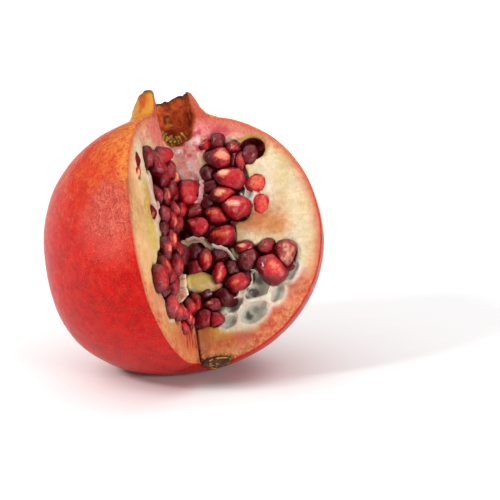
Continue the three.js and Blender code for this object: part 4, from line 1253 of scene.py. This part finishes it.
def kernel_piece(name, group, neighbours, ways, triangles):
    """One mesh of a group of kernels, with what the pulp's finish needs to know."""
    measures = {"tone": [], "glow": [], "pale": []}
    places, faces, own = [], [], []
    for kernel in group:
        form, pressed = pressed_form(kernel, neighbours, ways)
        faces.append(triangles + len(ways) * len(places))
        places.append(form)
        local = ways @ kernel.axes.T
        rise = ways @ kernel.facing
        top = kernel.facing - kernel.axes[0] * (kernel.facing @ kernel.axes[0])
        aside = ways @ np.cross(kernel.axes[0], top / np.linalg.norm(top))
        wobble = 0.42 * lattice_noise(local * (2.4, 5, 5) + kernel.number * 3.1, 1.0, 41)
        spot = in_radii((local[:, 0], aside), (kernel.glow_at, -0.05), (0.62, 0.34))
        spot = spot / kernel.spread + wobble
        halo = kernel.glow * smooth_step(2.4, 0.8, spot)
        # Painted shade darkens the pulp towards its rims and where it is pressed on its neighbours;
        # painted light brightens its low right side. The glow round the seed is painted light, partly
        # the seed's own pale colour.
        painted_rim_shade = np.clip(smooth_step(0.9, 0.2, rise) + 0.4 * smooth_step(0.72, 0.5, pressed), 0, 1)
        painted_rim_shade = painted_rim_shade * kernel.shadowed
        painted_lit = smooth_step(0.2, 0.9, ways @ PAINTED_LIGHT_SIDE)
        smoky = 0.16 * lattice_noise(local * 2.2 + kernel.number * 5.3, 1.0, 42)
        smoky = smoky + 0.10 * lattice_noise(local * (2, 7, 7) + kernel.number * 2.9, 1.0, 43)
        tone = kernel.tone * (0.85 + 0.25 * painted_lit) + 0.16 * halo + smoky * (0.3 + kernel.tone)
        measures["tone"].append(tone + 0.05 - (0.2 + 0.6 * kernel.tone) * painted_rim_shade)
        measures["glow"].append(kernel.glow * smooth_step(1.5, 0.4, spot) * smooth_step(0.2, 0.6, rise))
        measures["pale"].append(kernel.pale * smooth_step(1.1, 0.3, spot))
        own.append(local * kernel.radii + [kernel.number * 3.7, 0, 0])
    piece = mesh_object(name, np.concatenate(places), np.concatenate(faces))
    for measure, values in measures.items():
        set_numbers(piece, measure, np.concatenate(values))
    set_vectors(piece, "pulp", np.concatenate(own))
    return piece


PULP_BLACK = linear(84, 8, 18)
PULP_WINE = linear(112, 12, 24)
PULP_RUBY = linear(156, 14, 30)
PULP_BRIGHT = linear(204, 34, 44)
GLOW_RED = linear(222, 58, 42)
GLOW_ORANGE = linear(236, 112, 70)
GLOW_CREAM = linear(250, 204, 166)


def pulp_finish(name, wetness):
    """Glassy pulp, painted dark where it is deep, as shade, and lit where the seed lies close under it.
    """
    material, tree, shader = new_material(name)
    pulp = attribute(tree, "pulp", "Vector")
    strands = noise(tree, stretched(tree, pulp, (0.4, 1, 1)), 1.4, 4.0, 0.7)
    cloudy = noise(tree, pulp, 0.5, 3.0, 0.5)
    uneven = times(tree, math_node(tree, "SUBTRACT", strands, 0.5), 1.1)
    tone = plus(tree, attribute(tree, "tone"), uneven)
    base = mixed(tree, ramp(tree, tone, 0.0, 0.25), PULP_BLACK, PULP_WINE)
    base = mixed(tree, ramp(tree, tone, 0.2, 0.45), base, PULP_RUBY)
    base = mixed(tree, ramp(tree, tone, 0.46, 0.85), base, PULP_BRIGHT)
    streaky = ramp(tree, strands, 0.3, 0.65, 0.45, 1.1)
    share = times(tree, attribute(tree, "glow"), streaky)
    seed = mixed(tree, ramp(tree, share, 0.35, 0.8), GLOW_RED, GLOW_ORANGE)
    seed = mixed(tree, attribute(tree, "pale"), seed, GLOW_CREAM)
    put(tree, shader.inputs["Base Color"], mixed(tree, ramp(tree, share, 0.02, 0.62), base, seed))
    put(tree, shader.inputs["Roughness"], ramp(tree, cloudy, 0.3, 0.7, 0.12, 0.22))
    shader.inputs["IOR"].default_value = 1.36
    shader.inputs["Coat Weight"].default_value = 0.3 * wetness
    shader.inputs["Coat Roughness"].default_value = 0.1
    shader.inputs["Specular IOR Level"].default_value = wetness
    shader.inputs["Subsurface Weight"].default_value = 0.15
    shader.inputs["Subsurface Radius"].default_value = (1.0, 0.2, 0.14)
    shader.inputs["Subsurface Scale"].default_value = 0.0008
    put(tree, shader.inputs["Normal"], bumped(tree, noise(tree, pulp, 0.6, 4.0, 0.55), 0.0011, 0.65))
    return material


front_ways, front_triangles = ball(4)
back_ways, back_triangles = ball(3)
back_kernels = []
for place, packet in enumerate(CHAMBERS):
    back_kernels += back_row(packet, BACK_ROW_FROM + BACK_ROW_STEP * place)
all_kernels = front_kernels + back_kernels
packet_pulp = pulp_finish("kernel_pulp", 0.65)
for packet in CHAMBERS:
    front = [kernel for kernel in front_kernels if kernel.packet == packet]
    back = [kernel for kernel in back_kernels if kernel.packet == packet]
    for row_name, group, ways, triangles in (
        ("front", front, front_ways, front_triangles),
        ("back", back, back_ways, back_triangles),
    ):
        piece = kernel_piece(f"kernels_{packet}_{row_name}", group, all_kernels, ways, triangles)
        piece.data.materials.append(packet_pulp)
        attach(piece, "root")
        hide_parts("arils_" + packet)

# ---- The lone kernels ----
# Six kernels sit alone in sockets of the pith, outside the packets. The knife cut five of them
# flush with the face, so their flat sides show wet, salmon-red flesh; the top one is whole.

lone_pulp = pulp_finish("cut_kernel_flesh", 0.2)
for kernel in lone_kernels:
    whole = kernel.flat_at is None
    name = kernel.packet.replace("aril", "kernel")
    piece = kernel_piece(name, [kernel], [], front_ways, front_triangles)
    piece.data.materials.append(packet_pulp if whole else lone_pulp)
    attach(piece, "root")
    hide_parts(kernel.packet)

# ---- The membranes ----
# Thin papery skins part the packets of kernels from each other. The knife left their edges
# standing a little over the face, where they curl and dry to a pinkish white.

# (face, line of (out, up) points, lowest and highest over the face, thickness, how pink or, below
# 0, how creamy, curl)
MEMBRANES = [
    ("right", [(9.6, 23.4), (9.8, 20), (9.2, 16.8), (7.4, 14), (5, 12.4)], -7, 2.0, 0.65, 0.75, -1.2),
    ("right", [(-0.6, 1.2), (2.6, 1.6), (5.4, 1.0), (8.6, 0.4)], -6, 1.0, 0.8, 0.5, 0.8),
    (
        "right",
        [(8.6, -1.8), (11, -3.4), (13.7, -4.7), (15.2, -6), (16.2, -7.4), (16.3, -9.4)],
        -5, 2.8, 0.75, 0.02, 1.0,
    ),
    ("right", [(20.2, -12.6), (22.6, -13), (24.6, -14), (26.4, -16), (28, -18)], -4, 1, 0.6, 0.15, 0),
    ("right", [(14, 36), (18, 36.6), (21.4, 34.4), (23, 31.4)], -4, 0.3, 0.5, 0.9, 0.0),
    ("right", [(24.6, 20), (24, 16), (23, 13), (24.6, 10)], -4, 0.3, 0.5, 0.3, 0.0),
    ("right", [(12.6, -22.2), (17, -20.8), (19, -18.6)], -5, 0.8, 0.5, 0.2, 0.0),
    ("right", [(29.4, -16.6), (28.6, -19), (27.2, -21.4), (26.4, -23.2)], -4, 0.25, 0.9, 0.0, 0.0),
    ("right", [(26.4, -23.2), (22.6, -23.4), (19, -23.2), (18.4, -20.6)], -4, 0.25, 0.9, 0.0, 0.0),
    ("right", [(26.4, -23.2), (26.6, -25.6), (26, -28.4)], -4, 0.2, 0.8, 0.0, 0.0),
    ("right", [(18.8, -23.4), (16.4, -25.4), (15, -27.4), (15.6, -30.6)], -4, 0.25, 0.8, 0.05, 0.0),
    ("right", [(15, -27.2), (12.8, -26.9), (10.4, -26.6)], -4, 0.2, 0.7, 0.05, 0.0),
    ("left", [(8.6, -11.4), (9.5, -14), (10.0, -17.6), (9.4, -22.0)], -4, 2.7, 1.7, -1.0, 0.5),
    ("left", [(6.4, 1.6), (11, 0.8), (17, 1.8)], -5, 0.9, 0.5, 0.5, 0.0),
    ("left", [(23, 18), (21.4, 12), (22, 7)], -4, 0.5, 0.5, 0.6, 0.0),
]
STEPS_A_SPAN = 12
ROUNDINGS = 14
MEMBRANE_ROWS = 14


def membrane(name, face, line, low, high, thickness, curl):
    """A closed strip along a smooth line, standing across the face, thinner and wavy at its edge."""
    guide = np.array(line, float)
    spans = np.linspace(0, len(guide) - 1, STEPS_A_SPAN * (len(guide) - 1) + 1)
    smooth = np.stack([np.interp(spans, range(len(guide)), guide[:, axis]) for axis in (0, 1)], 1)
    for _ in range(ROUNDINGS):
        smooth[1:-1] = 0.25 * smooth[:-2] + 0.5 * smooth[1:-1] + 0.25 * smooth[2:]
    direction = np.gradient(smooth, axis=0)
    direction /= np.linalg.norm(direction, axis=1, keepdims=True)
    side = np.stack([-direction[:, 1], direction[:, 0]], 1)
    heights = np.linspace(0, 1, MEMBRANE_ROWS)
    ring = []
    for flank in (1, -1):
        for share in heights if flank == 1 else heights[::-1]:
            taper = thickness * (0.5 - 0.12 * share) * math.sqrt(max(0.0, 1 - share**8)) + 0.03
            at = np.concatenate([smooth + side * flank * taper, np.zeros((len(smooth), 1))], 1)
            flat = np.c_[smooth, np.full(len(smooth), 3.0)]
            wave = lattice_noise(flat, 2.2, 51) + 0.5 * lattice_noise(flat, 0.9, 52)
            at[:, :2] += side * (0.7 * wave * share + curl * share**6)[:, None]
            ends = np.minimum(np.arange(len(smooth)), np.arange(len(smooth))[::-1]) / 6
            top = low + (high + 0.7 * wave - low) * np.minimum(1, 0.55 + 0.45 * ends)
            at[:, 2] = low + (top - low) * share
            ring.append(at)
    ring = np.array(ring)
    around, along = ring.shape[:2]
    places = ring.reshape(-1, 3) @ FACES[face]
    number = np.arange(around * along).reshape(around, along)
    following = np.roll(number, -1, axis=0)
    corners = [number[:, :-1], following[:, :-1], following[:, 1:], number[:, 1:]]
    quads = np.stack(corners, -1).reshape(-1, 4)
    faces = quads.tolist() + [number[::-1, 0].tolist(), number[:, -1].tolist()]
    return mesh_object(name, places, faces), ring.reshape(-1, 3)


FILM_WHITE = linear(236, 222, 206)
FILM_PINK = linear(226, 140, 150)
FILM_CREAM = linear(255, 228, 192)
FILM_ORANGE = linear(236, 112, 72)
film_material, tree, shader = new_material("membrane_film")
film_at = attribute(tree, "film", "Vector")
veins = noise(tree, stretched(tree, film_at, (1, 1, 0.4)), 0.9, 4.0, 0.65)
film = mixed(tree, attribute(tree, "pink"), FILM_WHITE, FILM_PINK)
vein_share = times(tree, attribute(tree, "pink"), ramp(tree, veins, 0.45, 0.75))
film = mixed(tree, vein_share, film, PULP_RUBY)
creamy = ramp(tree, attribute(tree, "pink"), 0.0, -1.0)
film = mixed(tree, creamy, film, FILM_CREAM)
orange_share = times(tree, creamy, ramp(tree, veins, 0.48, 0.62, 0.0, 0.85))
film = mixed(tree, orange_share, film, FILM_ORANGE)
sunk_share = ramp(tree, attribute(tree, "pink"), 0.02, 0.1)
sunk_share = times(tree, attribute(tree, "sunk"), sunk_share)
film = mixed(tree, sunk_share, film, PULP_WINE)
put(tree, shader.inputs["Base Color"], film)
put(tree, shader.inputs["Roughness"], ramp(tree, veins, 0.3, 0.7, 0.3, 0.5))
shader.inputs["Subsurface Weight"].default_value = 0.4
shader.inputs["Subsurface Radius"].default_value = (1.0, 0.5, 0.4)
shader.inputs["Subsurface Scale"].default_value = 0.0008
put(tree, shader.inputs["Normal"], bumped(tree, veins, 0.0003, 0.5))
for number, (face, line, low, high, thickness, pink, curl) in enumerate(MEMBRANES):
    piece, local = membrane(f"membrane_{number + 1}", face, line, low, high, thickness, curl)
    set_vectors(piece, "film", local)
    set_numbers(piece, "pink", np.full(len(local), pink))
    set_numbers(piece, "sunk", smooth_step(-0.6, -3.0, local[:, 2]))
    piece.data.materials.append(film_material)
    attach(piece, "root")

# ---- The stamens ----
# Dry thread-like stamens stand in the bottom of the crown's cup, each with a small anther at its
# tip. They grow out of the cup's floor and the foot of its wall, and lean inwards over each other.

STAMEN_COUNT = 54
STAMEN_THICKNESS = 0.26
STAMEN_SIDES = 7
STAMEN_SEED = 12
ANTHER_RADII = (0.34, 0.46, 0.2)


def thread(points, radii, sides):
    """Places and faces of a closed tube through points, with a radius at each."""
    points = np.array(points)
    way = np.gradient(points, axis=0)
    way /= np.linalg.norm(way, axis=1, keepdims=True)
    first = np.cross(way, [0.31, 0.12, 0.94])
    first /= np.linalg.norm(first, axis=1, keepdims=True)
    second = np.cross(way, first)
    angles = np.linspace(0, 2 * math.pi, sides, endpoint=False)
    angles = angles[None, :, None]
    circle = np.cos(angles) * first[:, None] + np.sin(angles) * second[:, None]
    places = points[:, None] + circle * np.array(radii)[:, None, None]
    number = np.arange(len(points) * sides).reshape(len(points), sides)
    turned = np.roll(number, -1, axis=1)
    quads = np.stack([number[:-1], turned[:-1], turned[1:], number[1:]], -1).reshape(-1, 4)
    return places.reshape(-1, 3), quads.tolist() + [number[0][::-1].tolist(), number[-1].tolist()]


draw = np.random.default_rng(STAMEN_SEED)
stamen_places, stamen_faces, stamen_along = [], [], []
for number in range(STAMEN_COUNT):
    turn = math.radians(335 - 240 * draw.uniform() ** 1.7)
    rooted = draw.uniform(2.6, 7.2)
    outward = np.array([math.sin(turn), -math.cos(turn), 0])
    foot = rooted * outward
    foot[2] = CUP_FLOOR + 0.1 + 0.42 * max(0, rooted - 4)
    lean = turn + draw.uniform(-0.8, 0.8)
    inward = draw.uniform(0.1, 0.75)
    tall = draw.uniform(2.0, 4.2)
    rise = np.linspace(0, 1, 9)
    bent = inward * rise**1.6
    bend = np.stack([-np.sin(lean) * bent, np.cos(lean) * bent, rise - 0.25 * rise**2], 1)
    waves, phase = draw.uniform(3, 7), draw.uniform(0, 6)
    aside = np.array([math.cos(turn), math.sin(turn), 0])
    curl = 0.35 * np.sin(rise * waves + phase)[:, None] * aside
    points = foot + tall * bend + curl * rise[:, None]
    radii = STAMEN_THICKNESS * (1 - 0.45 * rise)
    radii[-3:] = ANTHER_RADII
    places, faces = thread(points, radii, STAMEN_SIDES)
    offset = sum(len(p) for p in stamen_places)
    stamen_faces += [[corner + offset for corner in face] for face in faces]
    stamen_places.append(places)
    stamen_along.append(np.repeat(rise, STAMEN_SIDES))
stamens = mesh_object("stamen_tuft", np.concatenate(stamen_places), stamen_faces)
set_numbers(stamens, "rise", np.concatenate(stamen_along))
set_vectors(stamens, "fruit", np.concatenate(stamen_places))
STAMEN_OLIVE = linear(128, 92, 34)
STAMEN_YELLOW = linear(214, 172, 66)
STAMEN_RUST = linear(104, 46, 20)
stamen_material, tree, shader = new_material("dry_stamen")
patchy = noise(tree, attribute(tree, "fruit", "Vector"), 0.5, 3.0, 0.6)
dry = mixed(tree, ramp(tree, patchy, 0.35, 0.65), STAMEN_OLIVE, STAMEN_YELLOW)
dry = mixed(tree, ramp(tree, attribute(tree, "rise"), 0.35, 0.0), dry, STAMEN_RUST)
put(tree, shader.inputs["Base Color"], dry)
put(tree, shader.inputs["Roughness"], ramp(tree, patchy, 0.3, 0.7, 0.55, 0.8))
furrows = noise(tree, attribute(tree, "fruit", "Vector"), 2.5)
put(tree, shader.inputs["Normal"], bumped(tree, furrows, 0.0002, 0.4))
stamens.data.materials.append(stamen_material)
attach(stamens, "root")
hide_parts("stamens")

# ---- The stem scar ----
# The fruit was snapped off its twig here, low on the cut edge. What is left is a short woody stub
# with rough rings on its broken end, let into the rind.

# The stub's outline, from the middle of its broken end round to its root, as (radius, height).
SCAR_PROFILE = [
    (0, -1.8), (1.3, -1.9), (1.9, -1.5), (2.6, -1.8), (3.2, -1.4), (3.9, -1.4), (4.6, -0.9),
    (5.1, -0.4), (5.3, 0.0), (5.0, 0.4), (3.9, 1.0), (2.0, 1.4), (0, 1.5),
]
SCAR_SIDES, SCAR_STEPS = 72, 45
SCAR_MIDDLES = [[0, 0, -1.8], [0, 0, 1.5]]

scar_middle = scar_place()
profile = np.array(SCAR_PROFILE, float)
spans = np.linspace(0, len(profile) - 1, SCAR_STEPS)
spaced = [np.interp(spans, range(len(SCAR_PROFILE)), profile[:, axis]) for axis in (0, 1)]
profile = np.stack(spaced, 1)[1:-1]
angles = np.linspace(0, 2 * math.pi, SCAR_SIDES, endpoint=False)
rings = np.stack(
    [
        profile[:, None, 0] * np.cos(angles),
        profile[:, None, 0] * np.sin(angles),
        np.broadcast_to(profile[:, None, 1], (len(profile), SCAR_SIDES)),
    ],
    -1,
)
rough = 0.30 * lattice_noise(rings + 40, 1.3, 61) + 0.22 * lattice_noise(rings, 2.8, 62)
rings[..., :2] /= scar_narrowing(rings)[..., None]
rings[..., 2] += np.where(rings[..., 2] < 0, rough, 0)
scar_places = np.concatenate([rings.reshape(-1, 3), SCAR_MIDDLES])
number = np.arange(len(profile) * SCAR_SIDES).reshape(len(profile), SCAR_SIDES)
turned = np.roll(number, -1, axis=1)
quads = np.stack([number[:-1], number[1:], turned[1:], turned[:-1]], -1).reshape(-1, 4).tolist()
low_tip, high_tip = len(scar_places) - 2, len(scar_places) - 1
quads += [[low_tip, a, b] for a, b in zip(number[0], turned[0])]
quads += [[high_tip, b, a] for a, b in zip(number[-1], turned[-1])]
scar_local = scar_places.copy()
cut_side = FACES["right"][2]
past_cut = (scar_places + scar_middle) @ cut_side + 0.15
scar_places = scar_places - np.maximum(past_cut, 0)[:, None] * cut_side
scar = mesh_object("stem_stub", scar_places + scar_middle, quads)
set_vectors(scar, "wood", scar_local)
WOOD_DARK = linear(52, 26, 20)
WOOD_OLIVE = linear(112, 60, 40)
WOOD_YELLOW = linear(206, 168, 56)
scar_material, tree, shader = new_material("stem_wood")
wood = attribute(tree, "wood", "Vector")
grain = noise(tree, stretched(tree, wood, (1, 1, 0.3)), 1.1, 4.0, 0.7)
patches = noise(tree, stretched(tree, wood, (1, 1, 2)), 0.3, 3.0, 0.55, 0.6)
bark = mixed(tree, ramp(tree, grain, 0.4, 0.7), WOOD_DARK, WOOD_OLIVE)
bark = mixed(tree, ramp(tree, patches, 0.5, 0.62), bark, WOOD_YELLOW)
put(tree, shader.inputs["Base Color"], bark)
put(tree, shader.inputs["Roughness"], ramp(tree, grain, 0.3, 0.7, 0.65, 0.85))
put(tree, shader.inputs["Normal"], bumped(tree, grain, 0.0005, 0.8))
scar.data.materials.append(scar_material)
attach(scar, "root")
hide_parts("stem_scar")

# ---- Floor, light and camera ----
# The fruit stands on a plain white floor among four soft lights, under a dim white sky. The floor
# glows faintly, except close to the fruit. A long lens looks down a little at the missing wedge.
floor_mesh = bpy.data.meshes.new("floor")
floor_mesh.from_pydata([(-3, -3, 0), (3, -3, 0), (3, 3, 0), (-3, 3, 0)], [], [(0, 1, 2, 3)])
floor = bpy.data.objects.new("floor", floor_mesh)
bpy.context.scene.collection.objects.link(floor)
floor_material, tree, shader = new_material("floor_white")
shader.inputs["Base Color"].default_value = (0.9, 0.9, 0.9, 1)
shader.inputs["Roughness"].default_value = 0.7
floor_at = tree.nodes.new("ShaderNodeTexCoord").outputs["Object"]
off_fruit = distance_from(tree, floor_at, (0.005, -0.005, 0))
near_glow = ramp(tree, off_fruit, 0.018, 0.036, 0.0, 0.5)
far_glow = ramp(tree, off_fruit, 0.08, 0.7, 0.0, 0.5)
glowing = plus(tree, near_glow, far_glow)
put(tree, shader.inputs["Emission Color"], glowing)
shader.inputs["Emission Strength"].default_value = 0.4
floor_mesh.materials.append(floor_material)

world = bpy.data.worlds.new("studio")
bpy.context.scene.world = world
world.use_nodes = True
world.node_tree.nodes["Background"].inputs["Color"].default_value = (1, 1, 1, 1)
world.node_tree.nodes["Background"].inputs["Strength"].default_value = 0.2


def soft_box(name, place, aim, size, power):
    light = bpy.data.lights.new(name, "AREA")
    light.shape = "RECTANGLE"
    light.size, light.size_y = size
    light.energy = power
    made = bpy.data.objects.new(name, light)
    made.location = place
    made.rotation_euler = (Vector(aim) - Vector(place)).to_track_quat("-Z", "Y").to_euler()
    bpy.context.scene.collection.objects.link(made)
    return made


soft_box("key_light", (-1.2, -0.85, 1.05), (0, 0, 0.05), (0.3, 0.24), 12.5)
soft_box("top_light", (-0.3, 0.2, 1.9), (0, 0.1, 0), (3.2, 3.2), 37)
soft_box("rim_light", (-1.5, 0.6, 0.7), (0, 0, 0.05), (0.6, 0.6), 1.2)
soft_box("front_light", (1.0, -1.15, 0.45), (0, 0, 0.05), (0.5, 0.4), 11)

CAMERA_ELEVATION = math.radians(14)
CAMERA_DISTANCE = 0.8
LENS, SENSOR = 164, 36
# How far left of the picture's middle the fruit stands, and how far above it.
FRUIT_LEFT, FRUIT_HIGH = 0.0230, 0.0018
toward = Vector((0, -math.cos(CAMERA_ELEVATION), math.sin(CAMERA_ELEVATION)))
upward = Vector((0, math.sin(CAMERA_ELEVATION), math.cos(CAMERA_ELEVATION)))
target = Vector(CENTRE * MM) + Vector((FRUIT_LEFT, 0, 0)) - FRUIT_HIGH * upward
camera_data = bpy.data.cameras.new("camera")
camera_data.lens = LENS
camera_data.sensor_width = SENSOR
camera = bpy.data.objects.new("camera", camera_data)
camera.location = target + CAMERA_DISTANCE * toward
camera.rotation_euler = (-toward).to_track_quat("-Z", "Y").to_euler()
bpy.context.scene.collection.objects.link(camera)
bpy.context.scene.camera = camera
bpy.context.scene.view_settings.view_transform = "Standard"
